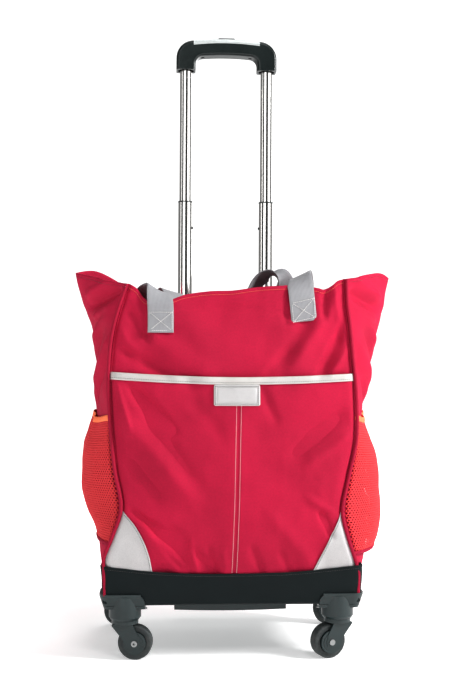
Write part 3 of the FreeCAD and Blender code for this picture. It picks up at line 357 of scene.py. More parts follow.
def mesh_piece(name, points, faces, uvs=None, smooth=True):
    """A mesh from points in millimetres; uvs holds one place in metres for each point."""
    mesh = bpy.data.meshes.new(name)
    mesh.from_pydata([tuple(Vector(p) * MM) for p in points], [], faces)
    if uvs:
        layer = mesh.uv_layers.new(name="cloth")
        for loop in mesh.loops:
            layer.data[loop.index].uv = uvs[loop.vertex_index]
    mesh.polygons.foreach_set("use_smooth", [smooth] * len(mesh.polygons))
    mesh.update()
    return new_object(name, mesh)


def grid_piece(name, place, columns, rows, closed=False, flip=False):
    """A sheet of cloth from place(i, j); its map is laid along the sheet's own lengths."""
    points = [[Vector(place(i, j)) for i in range(columns + 1)] for j in range(rows + 1)]
    middle = columns // 2
    run = [0.0]
    for j in range(rows):
        run.append(run[-1] + (points[j + 1][middle] - points[j][middle]).length)
    uvs = []
    for j in range(rows + 1):
        lengths = [0.0]
        for i in range(columns):
            lengths.append(lengths[-1] + (points[j][i + 1] - points[j][i]).length)
        half = lengths[-1] / 2
        uvs += [((v - half) * MM, run[j] * MM) for v in lengths]
    width = columns + 1
    faces = []
    for j in range(rows):
        for i in range(columns):
            face = (j * width + i, j * width + i + 1, (j + 1) * width + i + 1, (j + 1) * width + i)
            faces.append(face[::-1] if flip else face)
    piece = mesh_piece(name, [p for row in points for p in row], faces, uvs)
    if closed:
        weld(piece)
    return piece


def weld(piece):
    """Joins doubled points, as where a sheet closes on itself."""
    change = piece.modifiers.new("weld", "WELD")
    change.merge_threshold = WELD_REACH
    settle(piece)


def settle(piece):
    """Turns a piece and its modifiers into a plain mesh."""
    bpy.context.view_layer.update()
    graph = bpy.context.evaluated_depsgraph_get()
    mesh = bpy.data.meshes.new_from_object(piece.evaluated_get(graph), preserve_all_data_layers=True,
                                           depsgraph=graph)
    old = piece.data
    piece.modifiers.clear()
    piece.data = mesh
    mesh.name = piece.name
    if old.users == 0:
        bpy.data.meshes.remove(old)
    return piece


def thicken(piece, wall, offset=-1.0):
    """Gives a sheet its thickness, inwards from its outer face."""
    change = piece.modifiers.new("wall", "SOLIDIFY")
    change.thickness = wall * MM
    change.offset = offset
    change.use_even_offset = True
    return settle(piece)


def skinned(name, points, count, uvs):
    """A closed skin over rings of points, count in each, with a flat face on both ends."""
    last = len(points) - count
    faces = []
    for start in range(0, last, count):
        for k in range(count):
            n = (k + 1) % count
            faces.append((start + k, start + n, start + count + n, start + count + k))
    faces.append(tuple(reversed(range(count))))
    faces.append(tuple(last + k for k in range(count)))
    return mesh_piece(name, points, faces, uvs)


def tube_piece(name, points, radius, sides=10):
    """A round cord along points; its map runs along it."""
    rings, uvs, run = [], [], 0.0
    normal = None
    for i, point in enumerate(points):
        before, after = points[max(i - 1, 0)], points[min(i + 1, len(points) - 1)]
        along = (after - before).normalized()
        if normal is None:
            normal = along.orthogonal().normalized()
        normal = (normal - along * normal.dot(along)).normalized()
        other = along.cross(normal)
        if i:
            run += (point - points[i - 1]).length
        for k in range(sides):
            turn = 2 * math.pi * k / sides
            rings.append(point + normal * radius * math.cos(turn) + other * radius * math.sin(turn))
            uvs.append((2 * math.pi * radius * k / sides * MM, run * MM))
    return skinned(name, rings, sides, uvs)


def join(pieces, name):
    """One object from several."""
    bpy.ops.object.select_all(action="DESELECT")
    for piece in pieces:
        piece.select_set(True)
    bpy.context.view_layer.objects.active = pieces[0]
    bpy.ops.object.join()
    pieces[0].name = name
    pieces[0].data.name = name
    return pieces[0]


def finish_piece(piece, body, slot, *replaced):
    """Says what a finished piece rides on and the CAD nodes that it stands for; its material slot argument is
    not used.
    """
    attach(piece, body)
    if replaced:
        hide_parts(*replaced)
    return piece


def sew(piece, material, *replaced, wall=None, offset=-1.0, slot=None):
    """Gives a piece of the bag its wall and its material, and names the CAD nodes it stands for."""
    if wall:
        thicken(piece, wall, offset)
    piece.data.materials.append(made[material])
    return finish_piece(piece, "bag_frame", slot or material, *replaced)


# ---------------------------------------------------------------- geometry nodes
class Tree:
    """A geometry tree with named inputs; its result is realized and given a material at the end."""

    def __init__(self, name):
        self.group = bpy.data.node_groups.new(name, "GeometryNodeTree")
        self.group.interface.new_socket("Geometry", in_out="INPUT", socket_type="NodeSocketGeometry")
        self.group.interface.new_socket("Geometry", in_out="OUTPUT", socket_type="NodeSocketGeometry")
        self.start = self.group.nodes.new("NodeGroupInput")
        self.end = self.group.nodes.new("NodeGroupOutput")
        self.names = {}

    def number(self, name, default):
        socket = self.group.interface.new_socket(name, in_out="INPUT", socket_type="NodeSocketFloat")
        socket.default_value = default
        self.names[name] = socket.identifier
        return self.start.outputs[name]

    def material(self, name):
        socket = self.group.interface.new_socket(name, in_out="INPUT", socket_type="NodeSocketMaterial")
        self.names[name] = socket.identifier
        return self.start.outputs[name]

    def node(self, kind, settings=None, **inputs):
        made = self.group.nodes.new(kind)
        for key, value in (settings or {}).items():
            setattr(made, key, value)
        for key, value in inputs.items():
            socket = made.inputs[key.replace("_", " ")]
            if isinstance(value, bpy.types.NodeSocket):
                self.group.links.new(value, socket)
            else:
                socket.default_value = value
        return made

    def close(self, geometry, material):
        real = self.node("GeometryNodeRealizeInstances", Geometry=geometry)
        painted = self.node("GeometryNodeSetMaterial", Geometry=real.outputs[0], Material=material)
        self.group.links.new(painted.outputs[0], self.end.inputs[0])

    def apply(self, piece, **values):
        """Runs the tree on a piece and leaves a plain mesh."""
        change = piece.modifiers.new(self.group.name, "NODES")
        change.node_group = self.group
        for key, value in values.items():
            change[self.names[key.replace("_", " ")]] = value
        settle(piece)
        piece.data.polygons.foreach_set("use_smooth", [True] * len(piece.data.polygons))
        return piece


def stitch_tree():
    """Short raised threads laid end to end along the edges it is given."""
    tree = Tree("stitches")
    pitch = tree.number("Pitch", 0.003)
    length = tree.number("Length", 0.0022)
    thread = tree.number("Thread", 0.0005)
    finish = tree.material("Finish")
    curve = tree.node("GeometryNodeMeshToCurve", Mesh=tree.start.outputs["Geometry"])
    spaced = tree.node("GeometryNodeResampleCurve", {"mode": "LENGTH"}, Curve=curve.outputs[0],
                       Length=pitch)
    ball = tree.node("GeometryNodeMeshUVSphere", Segments=6, Rings=5, Radius=0.5)
    size = tree.node("ShaderNodeCombineXYZ", X=thread, Y=thread, Z=length)
    tangent = tree.node("GeometryNodeInputTangent")
    turned = tree.node("FunctionNodeAlignRotationToVector", {"axis": "Z"}, Vector=tangent.outputs[0])
    placed = tree.node("GeometryNodeInstanceOnPoints", Points=spaced.outputs[0], Instance=ball.outputs[0],
                       Rotation=turned.outputs[0], Scale=size.outputs[0])
    tree.close(placed.outputs[0], finish)
    return tree


def net_tree():
    """Turns a sheet of triangles into a flat knitted net of six-sided holes."""
    tree = Tree("net")
    hole = tree.number("Hole Share", 0.7)
    finish = tree.material("Finish")
    cells = tree.node("GeometryNodeDualMesh", Mesh=tree.start.outputs["Geometry"])
    opened = tree.node("GeometryNodeExtrudeMesh", {"mode": "FACES"}, Mesh=cells.outputs[0],
                       Offset_Scale=0.0, Individual=True)
    shrunk = tree.node("GeometryNodeScaleElements", {"domain": "FACE"}, Geometry=opened.outputs["Mesh"],
                       Selection=opened.outputs["Top"], Scale=hole)
    threads = tree.node("GeometryNodeDeleteGeometry", {"domain": "FACE"}, Geometry=shrunk.outputs[0],
                        Selection=opened.outputs["Top"])
    merged = tree.node("GeometryNodeMergeByDistance", Geometry=threads.outputs[0], Distance=0.00001)
    tree.close(merged.outputs[0], finish)
    return tree


def line_piece(name, paths):
    """A mesh of bare edges along one or more paths, for a tree to follow."""
    points, edges = [], []
    for path in paths:
        start = len(points)
        points += [tuple(Vector(p) * MM) for p in path]
        edges += [(start + i, start + i + 1) for i in range(len(path) - 1)]
    mesh = bpy.data.meshes.new(name)
    mesh.from_pydata(points, edges, [])
    return new_object(name, mesh)


def stitch_piece(name, paths, material, slot, pitch=3.2, length=2.5, thread=0.75):
    """A row of stitches along each path."""
    piece = line_piece(name, paths)
    made["stitches"].apply(piece, Pitch=pitch * MM, Length=length * MM, Thread=thread * MM,
                           Finish=made[material])
    return finish_piece(piece, "bag_frame", slot)


# ---------------------------------------------------------------- materials
class Value:
    """A shader socket that can be used in sums: each operator adds a Math node."""

    def __init__(self, finish, socket):
        self.finish = finish
        self.socket = socket

    def math(self, operation, *terms):
        return self.finish.node("ShaderNodeMath", {"operation": operation}, *terms)

    def __add__(self, other):
        return self.math("ADD", self, other)

    def __sub__(self, other):
        return self.math("SUBTRACT", self, other)

    def __rsub__(self, other):
        return self.math("SUBTRACT", other, self)

    def __mul__(self, other):
        return self.math("MULTIPLY", self, other)

    __radd__ = __add__
    __rmul__ = __mul__

    def sine(self):
        return self.math("SINE", self)

    def size(self):
        return self.math("ABSOLUTE", self)

    def between(self, low, high):
        """0 below low, 1 above high, and straight between them."""
        return self.finish.node("ShaderNodeMapRange", {"clamp": True}, self, low, high, 0.0, 1.0)


class Finish:
    """One procedural material. Fixed numbers go straight on the shader; what varies is linked."""

    def __init__(self, name, **fixed):
        self.material = bpy.data.materials.new(name)
        self.material.use_nodes = True
        self.tree = self.material.node_tree
        self.shader = self.tree.nodes["Principled BSDF"]
        for key, value in fixed.items():
            self.shader.inputs[key.replace("_", " ")].default_value = value
        made[name] = self.material

    def node(self, kind, settings=None, *values, out=0, **named):
        added = self.tree.nodes.new(kind)
        for key, value in (settings or {}).items():
            setattr(added, key, value)
        for index, value in enumerate(values):
            self.feed(added.inputs[index], value)
        for key, value in named.items():
            self.feed(added.inputs[key.replace("_", " ")], value)
        return Value(self, added.outputs[out])

    def feed(self, socket, value):
        if isinstance(value, Value):
            self.tree.links.new(value.socket, socket)
        else:
            socket.default_value = value

    def link(self, **inputs):
        for key, value in inputs.items():
            self.feed(self.shader.inputs[key.replace("_", " ")], value)

    def place(self):
        """Object coordinates, in metres."""
        return self.node("ShaderNodeTexCoord", None, out=3)

    def cloth_map(self):
        """The piece's own map, in metres along the cloth."""
        return self.node("ShaderNodeUVMap", {"uv_map": "cloth"})

    def split(self, vector):
        whole = self.tree.nodes.new("ShaderNodeSeparateXYZ")
        self.tree.links.new(vector.socket, whole.inputs[0])
        return [Value(self, s) for s in whole.outputs]

    def grain(self, vector, scale, detail=4.0, roughness=0.55):
        return self.node("ShaderNodeTexNoise", None, Vector=vector, Scale=scale, Detail=detail,
                         Roughness=roughness)

    def cells(self, vector, scale):
        return self.node("ShaderNodeTexVoronoi", None, Vector=vector, Scale=scale)

    def blend(self, factor, first, second):
        added = self.tree.nodes.new("ShaderNodeMix")
        added.data_type = "RGBA"
        self.feed(added.inputs[0], factor)
        self.feed(added.inputs[6], colour(first))
        self.feed(added.inputs[7], colour(second))
        return Value(self, added.outputs[2])

    def bump(self, height, strength, distance):
        self.link(Normal=self.node("ShaderNodeBump", None, Height=height, Strength=strength,
                                   Distance=distance))


def colour(value):
    """An RGB tuple with its alpha, or the socket as it is."""
    return (*value, 1.0) if isinstance(value, tuple) and len(value) == 3 else value


def shaded(rgb, share):
    return tuple(c * share for c in rgb)


made = {}


def woven(name, base, pitch, depth=0.00022, sheen=0.1, tint=None):
    """Plain-weave cloth: crossing threads on the cloth's own map, thread by thread variation and slubs."""
    finish = Finish(name, Sheen_Weight=sheen, Sheen_Roughness=0.45, Specular_IOR_Level=0.28)
    finish.shader.inputs["Sheen Tint"].default_value = (*(tint or base), 1.0)
    where = finish.cloth_map()
    u, v, _ = finish.split(where)
    per_metre = math.pi / pitch
    warp, weft = (u * per_metre).sine(), (v * per_metre).sine()
    over = (warp * weft).between(-0.35, 0.35)
    threads = over * warp.size() + (1.0 - over) * weft.size()
    uneven = finish.grain(where, 0.35 / pitch, 3.0, 0.65)
    patches = finish.grain(where, 9.0, 3.0, 0.5)
    slub, rough = 0.16, 0.82
    shade = threads * 0.34 + uneven * slub * 2.0 + patches * 0.5
    finish.link(
        Base_Color=finish.blend(shade.between(0.22, 0.92), shaded(base, 0.55), shaded(base, 1.38)),
        Roughness=threads * -0.12 + uneven * 0.12 + rough,
    )
    finish.bump(threads * 0.7 + uneven * 0.6, 0.7, depth)
    return finish


def make_materials(look):
    red, net = tuple(look.red), tuple(look.net)
    woven("red_canvas", red, 0.0011)
    woven("red_piping", shaded(red, 0.8), 0.0008, depth=0.00015)
    woven("black_canvas", tuple(look.black), 0.0011, sheen=0.12, tint=(0.4, 0.45, 0.45))
    woven("orange_mesh", net, 0.0006, depth=0.0001, sheen=0.2)
    woven("net_binding", (0.95, 0.24, 0.11), 0.0007, depth=0.0001)
    leather("cream_leatherette", tuple(look.trim), 0.52)
    leather("grey_leatherette", tuple(look.patch), 0.58)
    webbing("grey_webbing", tuple(look.webbing))
    thread("white_thread", (0.84, 0.82, 0.8))
    thread("orange_thread", (0.85, 0.16, 0.1))
    thread("red_thread", shaded(red, 0.5))
    thread("dark_thread", (0.05, 0.045, 0.045))
    thread("grey_thread", (0.12, 0.115, 0.11))
    moulded("dark_plastic", (0.02, 0.032, 0.033), 0.34, 1900.0, grain=0.2)
    moulded("black_plastic", (0.006, 0.011, 0.011), 0.3, 2300.0, grain=0.2)
    moulded("button_plastic", (0.02, 0.026, 0.028), 0.3, 2600.0, grain=0.25)
    lacquer("silver_plastic")
    rubber("tyre_rubber")
    steel("polished_steel", 0.1, (0.8, 0.79, 0.77))
    steel("bright_steel", 0.28, (0.7, 0.7, 0.7))
    steel("dark_steel", 0.42, (0.34, 0.35, 0.35))
    board("fibre_board")
    floor("floor_paper")


def leather(name, base, rough):
    """Grained coated cloth: pebbles with creases between them, the creases darkened as painted shade."""
    finish = Finish(name, Specular_IOR_Level=0.4, Coat_Roughness=0.4)
    where = finish.place()
    pebbles = finish.cells(where, 780.0)
    fine = finish.grain(where, 1500.0, 3.0)
    cloud = finish.grain(where, 26.0, 4.0)
    # Colour darkens in the creases between the pebbles, where the bump sinks: painted shade; fine and cloud
    # are random tone.
    shade = pebbles.between(0.1, 0.75) * 0.35 + fine * 0.25 + cloud * 0.55
    finish.link(
        Base_Color=finish.blend(shade.between(0.3, 0.85), shaded(base, 1.06), shaded(base, 0.88)),
        Roughness=rough + (cloud - 0.5) * 0.25,
    )
    finish.bump(fine * 0.3 - pebbles * 0.8, 0.4, 0.0003)


def webbing(name, base):
    """Ribbed strap: warp ribs along the strap and fine picks across it."""
    finish = Finish(name, Sheen_Weight=0.2, Sheen_Roughness=0.4, Specular_IOR_Level=0.35)
    where = finish.cloth_map()
    u, v, _ = finish.split(where)
    ribs = (u * (math.pi / 0.0019)).sine().size()
    picks = ((v + ribs * 0.0004) * (math.pi / 0.0010)).sine().size()
    uneven = finish.grain(where, 420.0, 3.0)
    cloud = finish.grain(where, 30.0, 3.0)
    shade = ribs * 0.4 + picks * 0.3 + uneven * 0.25 + cloud * 0.3
    finish.link(
        Base_Color=finish.blend(shade.between(0.15, 1.0), shaded(base, 0.7), shaded(base, 1.12)),
        Roughness=0.78 - ribs * 0.14 + uneven * 0.1,
    )
    finish.bump(ribs * 0.8 + picks * 0.35 + uneven * 0.2, 0.6, 0.0004)


def thread(name, base):
    finish = Finish(name, Sheen_Weight=0.3, Specular_IOR_Level=0.4)
    where = finish.place()
    x, y, z = finish.split(where)
    twist = ((x + y + z * 1.3) * 9000.0).sine()
    cloud = finish.grain(where, 300.0, 2.0)
    finish.link(
        Base_Color=finish.blend(twist.between(-1.0, 1.0) * 0.5 + cloud * 0.5, shaded(base, 0.8),
                                shaded(base, 1.1)),
        Roughness=0.6 + cloud * 0.15,
    )
    finish.bump(twist, 0.4, 0.0001)


def moulded(name, base, rough, scale, grain=0.6):
    """Spark-eroded moulded plastic with faint scuffs."""
    finish = Finish(name, Specular_IOR_Level=0.5)
    where = finish.place()
    grains = finish.grain(where, scale, 2.0, 0.6)
    flow = finish.grain(where, 14.0, 4.0)
    stretched = finish.node("ShaderNodeMapping", None, Vector=where, Scale=(60.0, 60.0, 900.0))
    scuffs = finish.grain(stretched, 1.0, 5.0, 0.7).between(0.62, 0.74)
    finish.link(
        Base_Color=finish.blend(flow.between(0.3, 0.7) * 0.6 + scuffs * 0.25, base, shaded(base, 1.6)),
        Roughness=rough + (grains - 0.5) * 0.2 + scuffs * 0.12 + (flow - 0.5) * 0.12,
    )
    finish.bump(grains, grain * 0.35, 0.00015)


def lacquer(name):
    """Silver lacquer on plastic: fine flake under a clear coat."""
    finish = Finish(name, Coat_Roughness=0.12, Specular_IOR_Level=0.5)
    where = finish.place()
    flake = finish.cells(where, 3200.0)
    cloud = finish.grain(where, 18.0, 3.0)
    finish.link(
        Base_Color=finish.blend(flake * 0.6 + cloud * 0.4, (0.62, 0.65, 0.64), (0.5, 0.53, 0.53)),
        Metallic=0.25 + flake * 0.3,
        Roughness=0.3 + cloud * 0.14,
        Coat_Weight=0.35 + cloud * 0.2,
    )
    finish.bump(flake, 0.08, 0.00005)


def rubber(name):
    """Polyurethane tread: matt, with dust."""
    finish = Finish(name, Specular_IOR_Level=0.4)
    where = finish.place()
    fine = finish.grain(where, 1100.0, 3.0)
    dust = finish.grain(where, 70.0, 5.0, 0.65).between(0.45, 0.75)
    finish.link(
        Base_Color=finish.blend(dust * 0.55 + fine * 0.25, (0.03, 0.038, 0.04), (0.13, 0.135, 0.13)),
        Roughness=0.5 + dust * 0.25 + fine * 0.1,
    )
    finish.bump(fine + dust * 0.5, 0.25, 0.0002)


def steel(name, rough, base):
    """Drawn and polished tube: faint lines along it and a breath of haze."""
    finish = Finish(name, Specular_IOR_Level=0.5)
    where = finish.place()
    stretched = finish.node("ShaderNodeMapping", None, Vector=where, Scale=(2600.0, 2600.0, 9.0))
    lines = finish.grain(stretched, 1.0, 3.0, 0.6)
    haze = finish.grain(where, 22.0, 4.0)
    finish.link(
        Base_Color=finish.blend(lines * 0.4 + haze * 0.4, base, shaded(base, 0.8)),
        Metallic=1.0 - haze * 0.04,
        Roughness=rough + lines * 0.03 + (haze - 0.4) * 0.05,
    )
    finish.bump(lines, 0.02, 0.00002)


def board(name):
    """Pressed fibre board: mottled with short fibres."""
    finish = Finish(name, Specular_IOR_Level=0.3)
    where = finish.place()
    stretched = finish.node("ShaderNodeMapping", None, Vector=where, Scale=(1.0, 3.0, 1.0))
    fibres = finish.grain(stretched, 260.0, 5.0)
    finish.link(
        Base_Color=finish.blend(fibres.between(0.3, 0.7), (0.09, 0.06, 0.04), (0.2, 0.14, 0.09)),
        Roughness=0.75 + fibres * 0.15,
    )
    finish.bump(fibres, 0.3, 0.0002)


def floor(name):
    """Pale paper that glows, dimmer near the object as painted shade round its foot, and brightens to white
    away from it.
    """
    finish = Finish(name, Specular_IOR_Level=0.1, Emission_Strength=1.0)
    where = finish.place()
    tooth = finish.grain(where, 300.0, 3.0)
    # far is 0 within 0.3 m of the object's middle and 1 from 1 m out; the glow it sets is dim near the object
    # as painted shade round its foot.
    far = finish.node("ShaderNodeVectorMath", {"operation": "LENGTH"}, where, out=1).between(0.3, 1.0)
    finish.link(
        Base_Color=finish.blend(tooth, (0.88, 0.88, 0.88), (0.92, 0.92, 0.92)),
        Roughness=0.85 + tooth * 0.1,
        Emission_Color=finish.blend(far, (0.36, 0.36, 0.36), (0.8, 0.8, 0.8)),
    )
    finish.bump(tooth, 0.05, 0.0001)


# ---------------------------------------------------------------- sizes and colours that can be changed
class TrolleyLook(bpy.types.PropertyGroup):
    red: bpy.props.FloatVectorProperty(
        name="Canvas", description="Colour of the bag's canvas", subtype="COLOR", size=3, min=0, max=1,
        default=(0.44, 0.01, 0.054))
    net: bpy.props.FloatVectorProperty(
        name="Net", description="Colour of the side nets", subtype="COLOR", size=3, min=0, max=1,
        default=(0.86, 0.07, 0.085))
    black: bpy.props.FloatVectorProperty(
        name="Band", description="Colour of the base band", subtype="COLOR", size=3, min=0, max=1,
        default=(0.006, 0.011, 0.012))
    trim: bpy.props.FloatVectorProperty(
        name="Trim", description="Colour of the pocket binding and label", subtype="COLOR", size=3, min=0,
        max=1, default=(0.58, 0.56, 0.54))
    patch: bpy.props.FloatVectorProperty(
        name="Corner patches", description="Colour of the corner patches", subtype="COLOR", size=3, min=0,
        max=1, default=(0.54, 0.53, 0.53))
    webbing: bpy.props.FloatVectorProperty(
        name="Straps", description="Colour of the carry straps", subtype="COLOR", size=3, min=0, max=1,
        default=(0.34, 0.34, 0.355))


class TrolleySizes(bpy.types.PropertyGroup):
    net_pitch: bpy.props.FloatProperty(
        name="Net pitch", description="Distance between the holes of the side nets", unit="LENGTH",
        default=0.0040, min=0.002, max=0.01)
    strap_width: bpy.props.FloatProperty(
        name="Strap width", description="Width of the webbing", unit="LENGTH", default=0.038, min=0.02,
        max=0.06)


def look():
    return bpy.context.scene.trolley_look


def sizes():
    return bpy.context.scene.trolley_sizes


# ---------------------------------------------------------------- bag pieces
def build_front_panel():
    columns, rows = 150, 150

    def place(i, j):
        s, t = 2 * i / columns - 1, j / rows
        foot_x = seam_to_seam(s, RIM_SPREAD_Z)
        z = mixed(PANEL_FOOT_Z, RIM_Z(foot_x), t)
        point = front_point(s, z)
        point.y -= 0.9 * eased((z - RIM_Z(foot_x) + 23) / 2.0) * eased((1 - abs(s)) * 20)
        return point

    panel = grid_piece("front_cloth", place, columns, rows)
    sew(panel, "red_canvas", "front_panel", wall=CLOTH)


def rim_path():
    """Where the front rim is stitched, just under its edge."""
    steps, end = 120, 0.97
    shares = [mixed(-end, end, i / steps) for i in range(steps + 1)]
    return [front_point(s, RIM_Z(seam_to_seam(s, RIM_SPREAD_Z)) - 5.5, 1.3) for s in shares]


def build_back_panel():
    columns, rows = 90, 100

    def place(i, j):
        s, t = 1 - 2 * i / columns, j / rows
        x = seam_to_seam(s, RIM_SPREAD_Z)
        return back_point(s, mixed(PANEL_FOOT_Z, REAR_RIM_Z(x), t))

    panel = grid_piece("back_cloth", place, columns, rows)
    sew(panel, "red_canvas", "back_panel", wall=CLOTH)


def build_gussets():
    columns, rows = 96, 120
    for side, name in ((-1, "left"), (1, "right")):
        def place(i, j, side=side):
            a = i / columns
            return gusset_point(side, a, mixed(PANEL_FOOT_Z, WING_Z[side](a), j / rows))

        panel = grid_piece("side_cloth_" + name, place, columns, rows, flip=side < 0)
        sew(panel, "red_canvas", "gusset_" + name, wall=CLOTH)


def build_piping():
    """Covered cords down the four corner seams, from the rim to the corner mouldings."""
    cords, steps = [], 110
    for side in (-1, 1):
        for front in (True, False):
            top = WING_Z[side](0 if front else 1)
            path = []
            for i in range(steps + 1):
                z = mixed(HOUSING_HIGH.z - 2, top, i / steps)
                point = seam_point(side, front, z)
                proud = Vector((side * 0.5, -1.0 if front else 1.0, 0)).normalized()
                foot = eased((BAND_HIGH.z + 14 - z) / 22)
                point += proud * (CORD_R * 0.6 + foot * 4.2)
                path.append(point)
            cords.append(tube_piece("cord", path, CORD_R))
    piece = join(cords, "corner_piping")
    sew(piece, "red_piping", "corner_cords")


def build_pocket():
    columns, rows = 150, 130

    def place(i, j):
        s, t = 2 * i / columns - 1, j / rows
        s *= 0.98
        x = seam_to_seam(s, POCKET_SPREAD_Z)
        return pocket_point(s, mixed(PANEL_FOOT_Z + 1, POCKET_TOP_Z(x), t))

    pocket = grid_piece("pocket_cloth", place, columns, rows)
    sew(pocket, "red_canvas", "front_pocket", wall=1.3)

    tape_columns, outside, over, inside = 140, 6, 6, 4

    def tape(i, j):
        """A folded tape: down the outside of the pocket's edge, over it, and a little way down inside."""
        s = 0.99 * (2 * i / tape_columns - 1)
        x = seam_to_seam(s, POCKET_SPREAD_Z)
        top = POCKET_TOP_Z(x) + 1.0
        if j <= outside:
            drop, lift = mixed(10.6, 1.6, j / outside), 1.3 + 0.35 * math.sin(math.pi * j / outside)
        elif j <= outside + over:
            turn = math.pi * (j - outside) / over
            drop, lift = 1.6 - 1.6 * math.sin(turn), -0.35 + 1.65 * math.cos(turn)
        else:
            drop, lift = mixed(1.6, 8.0, (j - outside - over) / inside), -2.0
        return pocket_point(s, top - drop, lift, 0.0)

    binding = grid_piece("pocket_binding_tape", tape, tape_columns, outside + over + inside)
    sew(binding, "cream_leatherette", "pocket_binding", wall=0.7, offset=0.0)
    row = []
    for k in range(tape_columns + 1):
        s = 0.98 * (2 * k / tape_columns - 1)
        x = seam_to_seam(s, POCKET_SPREAD_Z)
        row.append(pocket_point(s, POCKET_TOP_Z(x) - 6.6, 2.2, 0.0))
    stitch_piece("binding_stitches", [row], "grey_thread", "cream_leatherette", 3.3, 2.1, 0.7)


def build_label():
    """A plain padded leatherette label with a pressed border and nothing written on it."""
    low, high = Vector((-29.3, 0, 370.5)), Vector((38.1, 0, 401.0))
    centre, half = (low + high) / 2, (high - low) / 2
    round_r = 3.0
    columns, rows = 56, 28

    def place(i, j):
        p, q = 2 * i / columns - 1, 2 * j / rows - 1
        x, z = p * half.x, q * half.z
        over_x, over_z = max(abs(x) - half.x + round_r, 0), max(abs(z) - half.z + round_r, 0)
        reach = math.hypot(over_x, over_z)
        if reach > round_r:
            x -= math.copysign(over_x * (1 - round_r / reach), x)
            z -= math.copysign(over_z * (1 - round_r / reach), z)
        edge = min(half.x - abs(x), half.z - abs(z))
        lift = 1.6 + 0.9 * eased(edge / 2.4) - 0.75 * math.exp(-((edge - 4.6) / 0.9) ** 2)
        x, z = centre.x + x, centre.z + z
        return on_pocket(x, z, lift, 0.0)

    label = grid_piece("blank_label", place, columns, rows)
    sew(label, "grey_leatherette", "label_patch", wall=1.3, slot="cream_leatherette")

    inset = 2.6
    border = []
    for a, b in (((-1, -1), (1, -1)), ((1, -1), (1, 1)), ((1, 1), (-1, 1)), ((-1, 1), (-1, -1))):
        path = []
        for k in range(13):
            x = centre.x + (half.x - inset) * mixed(a[0], b[0], k / 12)
            z = centre.z + (half.z - inset) * mixed(a[1], b[1], k / 12)
            path.append(on_pocket(x, z, 3.1, 0.0))
        border.append(path)
    stitch_piece("label_stitches", border, "grey_thread", "cream_leatherette", 2.6, 2.0, 0.8)


PATCH_EDGE_X = {
    -1: Line((126, 115), (129, 116), (153, 121), (177, 130), (200, 143.5), (219, 161)),
    1: Line((126, 116.5), (131, 118), (167, 136), (194, 149), (216, 159)),
}


def build_corner_patches():
    patches, edges = [], []
    columns, rows = 44, 60
    for side in (-1, 1):
        top = 218.0 if side < 0 else 215.0

        def place(i, j, side=side, top=top):
            z = mixed(PANEL_FOOT_Z + 5, top, j / rows)
            outer, inner = SEAM_X[side](z) - 0.6, min(PATCH_EDGE_X[side](z), SEAM_X[side](z) - 1.2)
            x = side * mixed(outer, inner, i / columns)
            hem = 0.5 * math.exp(-((i / columns - 1) * 9) ** 2)
            return on_pocket(x, z, 1.7 + hem)

        patches.append(grid_piece("patch", place, columns, rows, flip=side > 0))
        edges.append([pocket_point(at_x(side * (PATCH_EDGE_X[side](z) + 2.4), z), z, 2.4)
                      for z in (mixed(128, top - 6, k / 24) for k in range(25))])
    piece = join(patches, "corner_patch_pair")
    sew(piece, "grey_leatherette", "corner_patches", wall=0.9)
    stitch_piece("patch_stitches", edges, "grey_thread", "grey_leatherette", 2.4, 2.0, 0.7)


BAND_TOP_Z = Line((-186, 138), (-121, 130.5), (-64, 127), (0, 126.3), (82, 128), (141, 133), (186, 137.5))


def band_point(turn, t, out=0.0):
    """The base band round a rounded rectangle, t from its foot to its upper edge."""
    corner = 5.0
    half_x, half_y = BASE_HALF_X, BASE_HALF_Y
    straight_x, straight_y = 2 * (half_x - corner), 2 * (half_y - corner)
    arc = math.pi * corner / 2
    around = 2 * (straight_x + straight_y) + 4 * arc
    run = (turn % 1.0) * around
    start_x, start_y = half_x - corner, half_y - corner
    spans = [(straight_x, (-start_x, -half_y), (1, 0)), (straight_y, (half_x, -start_y), (0, 1)),
             (straight_x, (start_x, half_y), (-1, 0)), (straight_y, (-half_x, start_y), (0, -1))]
    for length, (x, y), (dx, dy) in spans:
        if run <= length:
            point, normal = Vector((x + dx * run, y + dy * run, 0)), Vector((dy, -dx, 0))
            break
        run -= length
        if run <= arc:
            angle = run / corner
            start = Vector((dy, -dx, 0))
            end = Vector((dx, dy, 0))
            middle = Vector((x + dx * length, y + dy * length, 0)) - start * corner
            normal = (start * math.cos(angle) + end * math.sin(angle)).normalized()
            point = middle + normal * corner
            break
        run -= arc
    top = BAND_TOP_Z(point.x)
    z = mixed(BAND_LOW.z, top, t)
    front_share = max(-normal.y, 0.0)
    wave = 1.1 * ripple(point.x + point.y * 1.7, z * 1.6, 36, 61.0)
    wave += 0.5 * ripple(point.x - point.y, z, 14, 64.0)
    lift = 0.4 + 2.4 * eased(t) + wave * (0.25 + 0.75 * t) + front_share * 1.2 * math.sin(math.pi * t)
    lift += 0.9 * math.exp(-((t - 0.985) / 0.03) ** 2)
    tuck = -5.0 * (1 - eased(t / 0.07))
    point += normal * (lift + tuck + out)
    return Vector((point.x, point.y + MID_Y, z))


